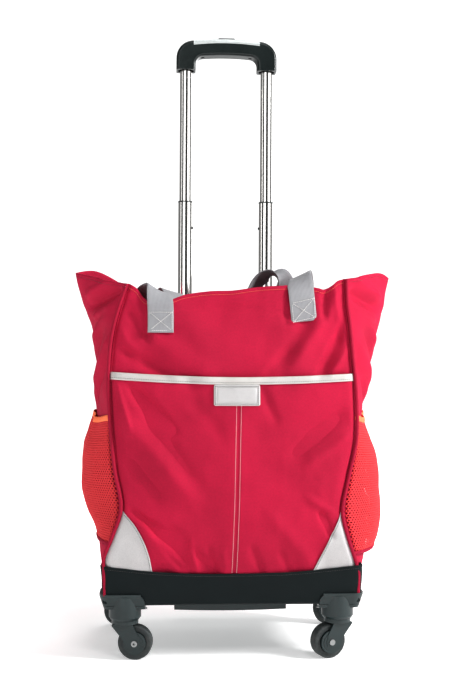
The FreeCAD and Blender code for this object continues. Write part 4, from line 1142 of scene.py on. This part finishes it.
def build_band():
    columns, rows = 220, 26

    def place(i, j):
        return band_point(i / columns, j / rows)

    wall = grid_piece("band", place, columns, rows, closed=True)
    thicken(wall, 2.0, -1.0)

    def bottom(i, j):
        point = band_point(i / columns, 0)
        inward = Vector((0, MID_Y, 0)) - Vector((point.x, point.y, 0))
        flat = Vector((point.x, point.y, 0)) + inward * (j / 8) * 0.98
        flat.z = BAND_LOW.z + 0.4 - 0.8 * math.sin(math.pi * j / 8)
        return flat

    sole = grid_piece("sole", bottom, columns, 8, closed=True, flip=True)
    thicken(sole, 1.6, -1.0)
    piece = join([wall, sole], "base_band_cloth")
    sew(piece, "black_canvas", "base_band")
    steps = 300
    seam = [band_point(k / steps, 0.93, 0.15) for k in range(steps + 1)]
    stitch_piece("band_stitches", [seam], "dark_thread", "black_canvas", 3.4, 2.6, 0.6)


NET_FOOT_Z = {-1: 170.0, 1: 154.0}
NET_WIDTH, NET_HIGH_Z = 262.0, 352
NET_TOP_Z = Line((0, 352), (0.25, 346), (0.5, 354), (0.75, 346), (1, 352))
NET_X = {
    -1: Line((150, 198), (172, 200), (190, 206.5), (207, 215.5), (228, 222.5), (250, 225), (307, 222),
             (330, 215), (354, 206)),
    1: Line((140, 214), (159, 225), (179, 231), (211, 233.5), (245, 232), (285, 228), (316, 218),
            (340, 208), (354, 206)),
}


def net_point(side, a, z, lift=0.0):
    """The net over a side pocket: sewn at both seams and at its foot, standing clear between them."""
    cloth = gusset_point(side, a, z, 1.2)
    stand = NET_X[side](z) - FOLD_X[side](z)
    share = 1 - abs(2 * a - 1) ** 2.6
    sag = 1.4 * math.sin(a * 34 + z * 0.05) * math.exp(-((z - NET_TOP_Z(a)) / 22) ** 2)
    rest = 1.8 * ripple(a * 260 + side * 90, z, 40, 71.0)
    cloth.x += side * (max(stand, 0.0) * share + share * (sag + rest * 0.6) + lift)
    return cloth


def net_edge(name, side, edge_z, tall, proud, lift, sides, material):
    """A rolled edge along a net; tall and proud are half its height and half its depth."""
    columns = 90

    def place(i, j):
        a = mixed(0.01, 0.99, i / columns)
        turn = 2 * math.pi * j / sides
        return net_point(side, a, edge_z(a) + tall * math.cos(turn), lift + proud * math.sin(turn))

    sew(grid_piece(name, place, columns, sides, closed=True, flip=side < 0), material, slot="orange_mesh")


def build_nets():
    tree = made["net"]
    pitch = sizes().net_pitch / MM
    for side, name in ((-1, "left"), (1, "right")):
        foot = NET_FOOT_Z[side]
        columns = int(NET_WIDTH / pitch)
        rows = int((NET_HIGH_Z - foot) / (pitch * math.sqrt(3) / 2))
        points, faces = [], []
        for j in range(rows + 1):
            for i in range(columns + 1):
                shift = 0.5 * (j % 2) if 0 < i < columns else 0.0
                a = mixed(0.012, 0.988, min((i + shift) / columns, 1.0))
                points.append(net_point(side, a, mixed(foot, NET_TOP_Z(a) - 1, j / rows)))
        width = columns + 1
        for j in range(rows):
            for i in range(columns):
                a, b = j * width + i, j * width + i + 1
                c, d = a + width, b + width
                pair = [(a, b, c), (b, d, c)] if j % 2 == 0 else [(a, b, d), (a, d, c)]
                faces += [f[::-1] for f in pair] if side < 0 else pair
        net = mesh_piece("side_net_" + name, points, faces)
        tree.apply(net, Hole_Share=0.46, Finish=made["orange_mesh"])
        thicken(net, 0.9, 0.0)
        finish_piece(net, "bag_frame", "orange_mesh", "mesh_pocket_" + name)

        net_edge("net_edge_" + name, side, NET_TOP_Z, 4.6, 1.1, 0.0, 10, "net_binding")
        net_edge("net_foot_" + name, side, lambda a: foot, 2.6, 0.9, 0.8, 8, "red_piping")


# ---------------------------------------------------------------- straps
WEBBING_WALL = 2.0


def ribbon(name, stations, steps, width):
    """Webbing along stations of (centre, width direction), with rounded edges."""
    flat = [list(c) + list(Vector(w).normalized()) for c, w in stations]
    path = smooth_path(flat, steps)
    centres = [Vector(p[:3]) for p in path]
    across = [Vector(p[3:]).normalized() for p in path]
    section = []
    half, thick = width / 2, WEBBING_WALL / 2
    for k in range(9):
        section.append((mixed(-half + thick, half - thick, k / 8), thick))
    section += [(half - thick * 0.25, thick * 0.55), (half, 0), (half - thick * 0.25, -thick * 0.55)]
    for k in range(9):
        section.append((mixed(half - thick, -half + thick, k / 8), -thick))
    section += [(-half + thick * 0.25, -thick * 0.55), (-half, 0), (-half + thick * 0.25, thick * 0.55)]
    points, uvs, run = [], [], 0.0
    for i, centre in enumerate(centres):
        before, after = centres[max(i - 1, 0)], centres[min(i + 1, steps)]
        along = (after - before).normalized()
        side = (across[i] - along * across[i].dot(along)).normalized()
        face = along.cross(side)
        if i:
            run += (centre - centres[i - 1]).length
        for a, b in section:
            points.append(centre + side * a - face * b)
            uvs.append((a * MM, run * MM))
    return skinned(name, points, len(section), uvs)


def box_stitches(corners, lift):
    """A sewn square with its cross, given its four corners on the front (x, z)."""
    a, b, c, d = corners
    paths = []
    for start, end in ((a, b), (b, c), (c, d), (d, a), (a, c), (b, d)):
        path = []
        for k in range(11):
            x, z = mixed(start[0], end[0], k / 10), mixed(start[1], end[1], k / 10)
            path.append(on_front(x, z, lift))
        paths.append(path)
    return paths


def build_straps():
    width = sizes().strap_width / MM
    left = [
        (on_front(-106.2, 475.8, 2.2), (1, 0, -0.02)),
        (on_front(-106.2, 491, 2.2), (1, 0, 0)),
        (on_front(-106.4, 507, 2.4), (1, 0, 0)),
        (on_front(-107, 519, 6.5), (0.98, 0, -0.12)),
        ((-108.5, -111, 532), (0.93, 0, -0.36)),
        ((-110.5, -102, 538.5), (0.89, 0.05, -0.46)),
        ((-117, -90, 538), (0.8, 0.3, -0.52)),
        ((-126, -76, 533), (0.62, 0.55, -0.56)),
        ((-134, -60, 518), (0.4, 0.7, -0.6)),
        ((-138, -44, 492), (0.2, 0.8, -0.56)),
        ((-138, -32, 456), (0.1, 0.9, -0.4)),
    ]
    right = [
        (on_front(104.6, 493.5, 2.2), (0.97, 0, 0.235)),
        (on_front(102.9, 510, 2.2), (0.965, 0, 0.26)),
        (on_front(101, 528, 2.6), (0.94, 0, 0.33)),
        ((99.5, -113, 541), (0.9, 0, 0.42)),
        ((98.2, -109, 552), (0.87, 0, 0.49)),
        ((98.6, -101, 559), (0.86, 0.05, 0.48)),
        ((100.5, -90, 562), (0.9, 0.12, 0.4)),
        ((104, -79, 557), (0.94, 0.16, 0.26)),
        ((106, -72, 540), (0.97, 0.16, 0.12)),
        ((103, -68, 512), (0.98, 0.16, 0.04)),
        ((97, -64, 480), (0.98, 0.2, 0)),
        ((93, -62, 446), (0.98, 0.2, 0)),
    ]
    rear = [
        ((-100, 90, 478), (1, 0, 0)),
        ((-100, 89, 510), (1, 0, 0)),
        ((-97, 82, 538), (1, 0, -0.1)),
        ((-90, 62, 545), (0.95, 0, -0.3)),
        ((-76, 38, 526), (0.85, 0.2, -0.5)),
        ((-50, 20, 500), (0.6, 0.5, -0.6)),
        ((-10, 8, 492), (0.2, 0.8, -0.5)),
        ((22, -4, 520), (0.1, 0.86, -0.5)),
        ((44, -14, 556), (0.35, 0.86, -0.35)),
        ((62, -18, 568), (0.6, 0.75, -0.2)),
        ((80, -12, 562), (0.75, 0.65, 0.0)),
        ((90, 8, 545), (0.9, 0.4, 0.1)),
        ((96, 34, 548), (0.95, 0.2, 0.1)),
        ((101, 60, 562), (1, 0.1, 0.1)),
        ((103, 80, 553), (1, 0, 0)),
        ((102, 89, 515), (1, 0, 0)),
        ((101, 90, 478), (1, 0, 0)),
    ]
    legs = [ribbon("leg", left, 110, width), ribbon("leg", right, 110, width)]
    front = join(legs, "front_carry_strap")
    sew(front, "grey_webbing", "front_strap")
    back = ribbon("rear_carry_strap", rear, 220, width)
    sew(back, "grey_webbing", "rear_strap")

    half = width / 2 - 2.6
    stitches = box_stitches([(-106.2 - half, 478.5), (-106.2 + half, 478.5), (-106.2 + half, 505.5),
                             (-106.2 - half, 505.5)], 3.9)
    slant = math.radians(13.6)
    corners = []
    for p, q in ((-1, -1), (1, -1), (1, 1), (-1, 1)):
        u, v = p * half, 14 * q + 16.5
        corners.append((104.6 + u * math.cos(slant) - v * 0.07, 493.5 + u * math.sin(slant) + v))
    stitches += box_stitches(corners, 3.9)
    stitch_piece("strap_stitches", stitches, "white_thread", "grey_webbing", 2.7, 2.3, 0.9)


def build_seam_stitches():
    stitch_piece("rim_stitches", [rim_path()], "orange_thread", "red_canvas", thread=0.9)
    pleat = []
    for step in (0.0, 6.8):
        path = []
        for k in range(90):
            z = mixed(129, 400, k / 89)
            x = PLEAT_X(z) + step
            path.append(on_pocket(x, z, 0.4))
        pleat.append(path)
    stitch_piece("pleat_stitches", pleat, "white_thread", "red_canvas", 3.4, 2.6, 0.7)
    wings = []
    for side in (-1, 1):
        wings.append([gusset_point(side, a, WING_Z[side](a) - 5.5, 0.4)
                      for a in (mixed(0.03, 0.97, k / 80) for k in range(81))])
    stitch_piece("wing_stitches", wings, "red_thread", "red_canvas", thread=0.6)


def build_sleeve():
    """The cloth sleeve that carries the outer tubes behind the bag, sewn down along both sides."""
    low, high = SLEEVE_LOW, SLEEVE_HIGH
    half = high.x
    columns, rows, gap = 120, 110, 1.6

    def place(i, j):
        s, t = 1 - 2 * i / columns, j / rows
        z = mixed(low.z, high.z, t)
        x = s * half
        flat = back_point(at_x(x, z), z).y + 1.4
        over_tube = TUBE_Y + TUBE_R + gap
        nearest = abs(abs(x) - TUBE_X)
        bridge = over_tube - 2.2 * (1 - eased(abs(x) / 46)) if abs(x) < TUBE_X else over_tube
        round_off = TUBE_R + gap
        if abs(x) <= TUBE_X:
            y = bridge
        elif nearest < round_off:
            y = TUBE_Y + math.sqrt(max(round_off ** 2 - nearest ** 2, 0))
        else:
            y = flat
        y = max(y, flat)
        y += 0.6 * ripple(x, z, 30, 81.0) * eased((half - abs(x)) / 20)
        return Vector((x, y, z))

    cloth = grid_piece("tube_sleeve_cloth", place, columns, rows)
    sew(cloth, "red_canvas", "tube_sleeve", wall=1.3)
    seams = []
    for side in (-1, 1):
        seams.append([Vector((side * (half - 3.2), back_point(at_x(side * (half - 3.2), z), z).y + 1.9, z))
                      for z in (mixed(low.z + 3, high.z - 3, k / 80) for k in range(81))])
    stitch_piece("sleeve_stitches", seams, "orange_thread", "red_canvas")


def build_release_spring():
    """The coil under the release button."""
    low, high = box_mm("button_spring")
    wire, turns, press = 0.5, 3, 3.5
    radius = (high.x - low.x) / 2 - wire
    centre = (low + high) / 2
    path = []
    for k in range(24 * turns + 1):
        turn = 2 * math.pi * k / 24
        rise = mixed(low.z + wire, high.z - wire, k / (24 * turns))
        path.append(Vector((centre.x + radius * math.cos(turn), centre.y + radius * math.sin(turn), rise)))
    spring = tube_piece("release_spring", path, wire)
    spring.data.materials.append(made["bright_steel"])
    finish_piece(spring, "upper_stage", "bright_steel", "button_spring")
    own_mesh(spring)


# ---------------------------------------------------------------- finishes of the CAD pieces
def both(stem):
    return [stem + "_left", stem + "_right"]


CAD_FINISH = {
    "polished_steel": both("outer_tube") + both("middle_tube") + both("upper_tube"),
    "black_plastic": ["grip_body", "middle_bushes", "middle_plugs", "upper_plugs", "handle_bezel",
                      "push_rods"],
    "silver_plastic": ["grip_cover"],
    "button_plastic": ["release_button"],
    "dark_steel": ["base_screws"],
    "bright_steel": ["grip_screws", "swivel_pivots"] + both("upper_lock_pin") + both("middle_lock_pin"),
    "dark_plastic": ["tube_foot", "base_tray"],
    "fibre_board": ["base_board"],
}


def dress_cad_pieces():
    for corner in ("front_left", "front_right", "rear_left", "rear_right"):
        for stem, finish in (("caster_housing_", "dark_plastic"), ("fork_", "dark_plastic"),
                             ("hub_", "dark_plastic"), ("tyre_", "tyre_rubber"), ("axle_", "dark_steel")):
            dress(stem + corner, finish)
    for finish, nodes in CAD_FINISH.items():
        for node in nodes:
            dress(node, finish)


def dress(node, finish):
    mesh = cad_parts[node].data
    mesh.materials.clear()
    mesh.materials.append(made[finish])


# ---------------------------------------------------------------- stage
def add_light(name, place, target, size, power):
    light = bpy.data.lights.new(name, "AREA")
    light.shape = "RECTANGLE"
    light.size, light.size_y = size
    light.energy = power
    lamp = new_object(name, light)
    lamp.location = place
    lamp.rotation_euler = (Vector(target) - Vector(place)).to_track_quat("-Z", "Y").to_euler()


def around(turn, reach, height):
    """A place at an angle round the object, 0 at the front and positive towards +X."""
    angle = math.radians(turn)
    return (reach * math.sin(angle), -reach * math.cos(angle), height)


SQUARE = ((-1, -1), (1, -1), (1, 1), (-1, 1))


def card(name, turn, reach, wide, material):
    """An upright card round the object that only shows in reflections."""
    high, sunk = 2.6, 0.2
    centre = Vector(around(turn, reach, high / 2 - sunk))
    along = Vector((math.cos(math.radians(turn)), math.sin(math.radians(turn)), 0))
    corners = [(centre + along * p * wide / 2 + Vector((0, 0, q * high / 2))) / MM
               for p, q in SQUARE]
    piece = mesh_piece(name, corners, [(0, 1, 2, 3)], smooth=False)
    for ray in ("camera", "diffuse", "shadow", "transmission"):
        setattr(piece, "visible_" + ray, False)
    piece.data.materials.append(made[material])
    return piece


def build_stage():
    scene = bpy.context.scene
    view = bpy.data.cameras.new("view")
    view.lens = 56.57
    view.sensor_width = 36.0
    view.clip_end = 50.0
    camera = new_object("view", view)
    camera.location = (-0.098, -1.7235, 0.451)
    camera.rotation_euler = (math.pi / 2, math.radians(-0.3), math.radians(-3.5))
    scene.camera = camera

    half = 6.0
    corners = [(x * half / MM, y * half / MM, 0) for x, y in SQUARE]
    ground = mesh_piece("ground", corners, [(0, 1, 2, 3)], smooth=False)
    ground.data.materials.append(made["floor_paper"])

    world = bpy.data.worlds.new("studio")
    world.use_nodes = True
    scene.world = world
    nodes, links = world.node_tree.nodes, world.node_tree.links
    background = nodes["Background"]
    path = nodes.new("ShaderNodeLightPath")
    strength = nodes.new("ShaderNodeMapRange")
    strength.inputs["To Min"].default_value = 0.24
    strength.inputs["To Max"].default_value = 1.0
    links.new(path.outputs["Is Camera Ray"], strength.inputs["Value"])
    links.new(strength.outputs[0], background.inputs["Strength"])
    background.inputs["Color"].default_value = (1.0, 1.0, 1.0, 1.0)

    add_light("key", around(68, 2.2, 1.6), (0.0, 0.0, 0.35), (0.5, 0.6), 54)
    add_light("front", around(14, 2.4, 2.8), (0.0, 0.0, 0.4), (1.0, 0.6), 18)
    add_light("fill", around(-75, 2.2, 0.9), (0.0, 0.0, 0.4), (0.8, 1.4), 6)
    add_light("top", (0.1, 0.2, 2.6), (0.0, 0.0, 0.3), (1.6, 1.6), 12)
    add_light("back", around(160, 2.2, 1.3), (0.0, 0.0, 0.5), (1.2, 1.2), 12)

    card("card_left", -24, 2.2, 1.45, "bright_card")
    card("card_right", 62, 2.2, 1.9, "bright_card")
    card("flag_front", 15, 2.2, 1.4, "flag_cloth")
    card("flag_left", -60, 2.0, 1.1, "flag_cloth")
    scene.view_settings.view_transform = "Standard"
    scene.view_settings.gamma = 0.8
    scene.view_settings.exposure = 0.3


# ---------------------------------------------------------------- operators
def prepare():
    make_materials(look())
    flag = Finish("flag_cloth", Roughness=0.9)
    soft = flag.grain(flag.place(), 40.0)
    flag.link(Base_Color=flag.blend(soft, (0.01, 0.012, 0.012), (0.02, 0.022, 0.022)))
    bright = Finish("bright_card", Roughness=0.9, Emission_Strength=0.95)
    cloud = bright.grain(bright.place(), 2.0)
    bright.link(Base_Color=bright.blend(cloud, (0.8, 0.8, 0.8), (0.85, 0.85, 0.85)),
                Emission_Color=bright.blend(cloud, (0.85, 0.86, 0.87), (1.0, 1.0, 1.0)))
    made["stitches"] = stitch_tree()
    made["net"] = net_tree()


class Step:
    """Runs its builders in order."""

    def execute(self, context):
        for build in self.builders:
            build()
        return {"FINISHED"}


class TROLLEY_OT_finishes(Step, bpy.types.Operator):
    """Makes the materials and the geometry trees"""
    bl_idname = "trolley.finishes"
    bl_label = "Finishes"
    builders = (prepare,)


class TROLLEY_OT_stage(Step, bpy.types.Operator):
    """Sets the floor, the lights and the camera"""
    bl_idname = "trolley.stage"
    bl_label = "Stage"
    builders = (build_stage,)


class TROLLEY_OT_hard_parts(Step, bpy.types.Operator):
    """Gives every CAD piece that stays its finish"""
    bl_idname = "trolley.hard_parts"
    bl_label = "Hard parts"
    builders = (dress_cad_pieces,)


class TROLLEY_OT_panels(Step, bpy.types.Operator):
    """Builds the front, the back and both flared sides"""
    bl_idname = "trolley.panels"
    bl_label = "Panels"
    builders = (build_front_panel, build_back_panel, build_gussets)


class TROLLEY_OT_piping(Step, bpy.types.Operator):
    """Builds the cords of the four corner seams"""
    bl_idname = "trolley.piping"
    bl_label = "Piping"
    builders = (build_piping,)


class TROLLEY_OT_pocket(Step, bpy.types.Operator):
    """Builds the front pocket, its tape and the blank label"""
    bl_idname = "trolley.pocket"
    bl_label = "Pocket"
    builders = (build_pocket, build_label)


class TROLLEY_OT_patches(Step, bpy.types.Operator):
    """Builds the two pale corner patches"""
    bl_idname = "trolley.patches"
    bl_label = "Corner patches"
    builders = (build_corner_patches,)


class TROLLEY_OT_band(Step, bpy.types.Operator):
    """Builds the black band round the base"""
    bl_idname = "trolley.band"
    bl_label = "Base band"
    builders = (build_band,)


class TROLLEY_OT_nets(Step, bpy.types.Operator):
    """Builds the two net pockets"""
    bl_idname = "trolley.nets"
    bl_label = "Side nets"
    builders = (build_nets,)


class TROLLEY_OT_straps(Step, bpy.types.Operator):
    """Builds the carry straps"""
    bl_idname = "trolley.straps"
    bl_label = "Straps"
    builders = (build_straps,)


class TROLLEY_OT_seams(Step, bpy.types.Operator):
    """Sews the rims and the pleat"""
    bl_idname = "trolley.seams"
    bl_label = "Seams"
    builders = (build_seam_stitches,)


class TROLLEY_OT_spring(Step, bpy.types.Operator):
    """Winds the coil under the release button"""
    bl_idname = "trolley.spring"
    bl_label = "Release spring"
    builders = (build_release_spring,)


class TROLLEY_OT_sleeve(Step, bpy.types.Operator):
    """Builds the sleeve behind the bag"""
    bl_idname = "trolley.sleeve"
    bl_label = "Tube sleeve"
    builders = (build_sleeve,)


STEPS = [
    TROLLEY_OT_finishes, TROLLEY_OT_stage, TROLLEY_OT_hard_parts, TROLLEY_OT_panels, TROLLEY_OT_piping,
    TROLLEY_OT_pocket, TROLLEY_OT_patches, TROLLEY_OT_band, TROLLEY_OT_nets, TROLLEY_OT_straps,
    TROLLEY_OT_seams, TROLLEY_OT_sleeve, TROLLEY_OT_spring,
]


class TROLLEY_PT_panel(bpy.types.Panel):
    """Lists the trolley's sizes, colours and build steps"""
    bl_label = "Shopping trolley"
    bl_space_type = "VIEW_3D"
    bl_region_type = "UI"
    bl_category = "Trolley"

    def draw(self, context):
        for group in (context.scene.trolley_look, context.scene.trolley_sizes):
            for key in group.__annotations__:
                self.layout.prop(group, key)
        for step in STEPS:
            self.layout.operator(step.bl_idname)


CLASSES = [TrolleyLook, TrolleySizes, *STEPS, TROLLEY_PT_panel]


def register():
    for item in CLASSES:
        bpy.utils.register_class(item)
    bpy.types.Scene.trolley_look = bpy.props.PointerProperty(type=TrolleyLook)
    bpy.types.Scene.trolley_sizes = bpy.props.PointerProperty(type=TrolleySizes)


def unregister():
    del bpy.types.Scene.trolley_sizes
    del bpy.types.Scene.trolley_look
    for item in reversed(CLASSES):
        bpy.utils.unregister_class(item)


def main():
    register()
    for step in STEPS:
        name = step.bl_idname.split(".")[1]
        getattr(bpy.ops.trolley, name)()


if __name__ == "__main__":
    main()
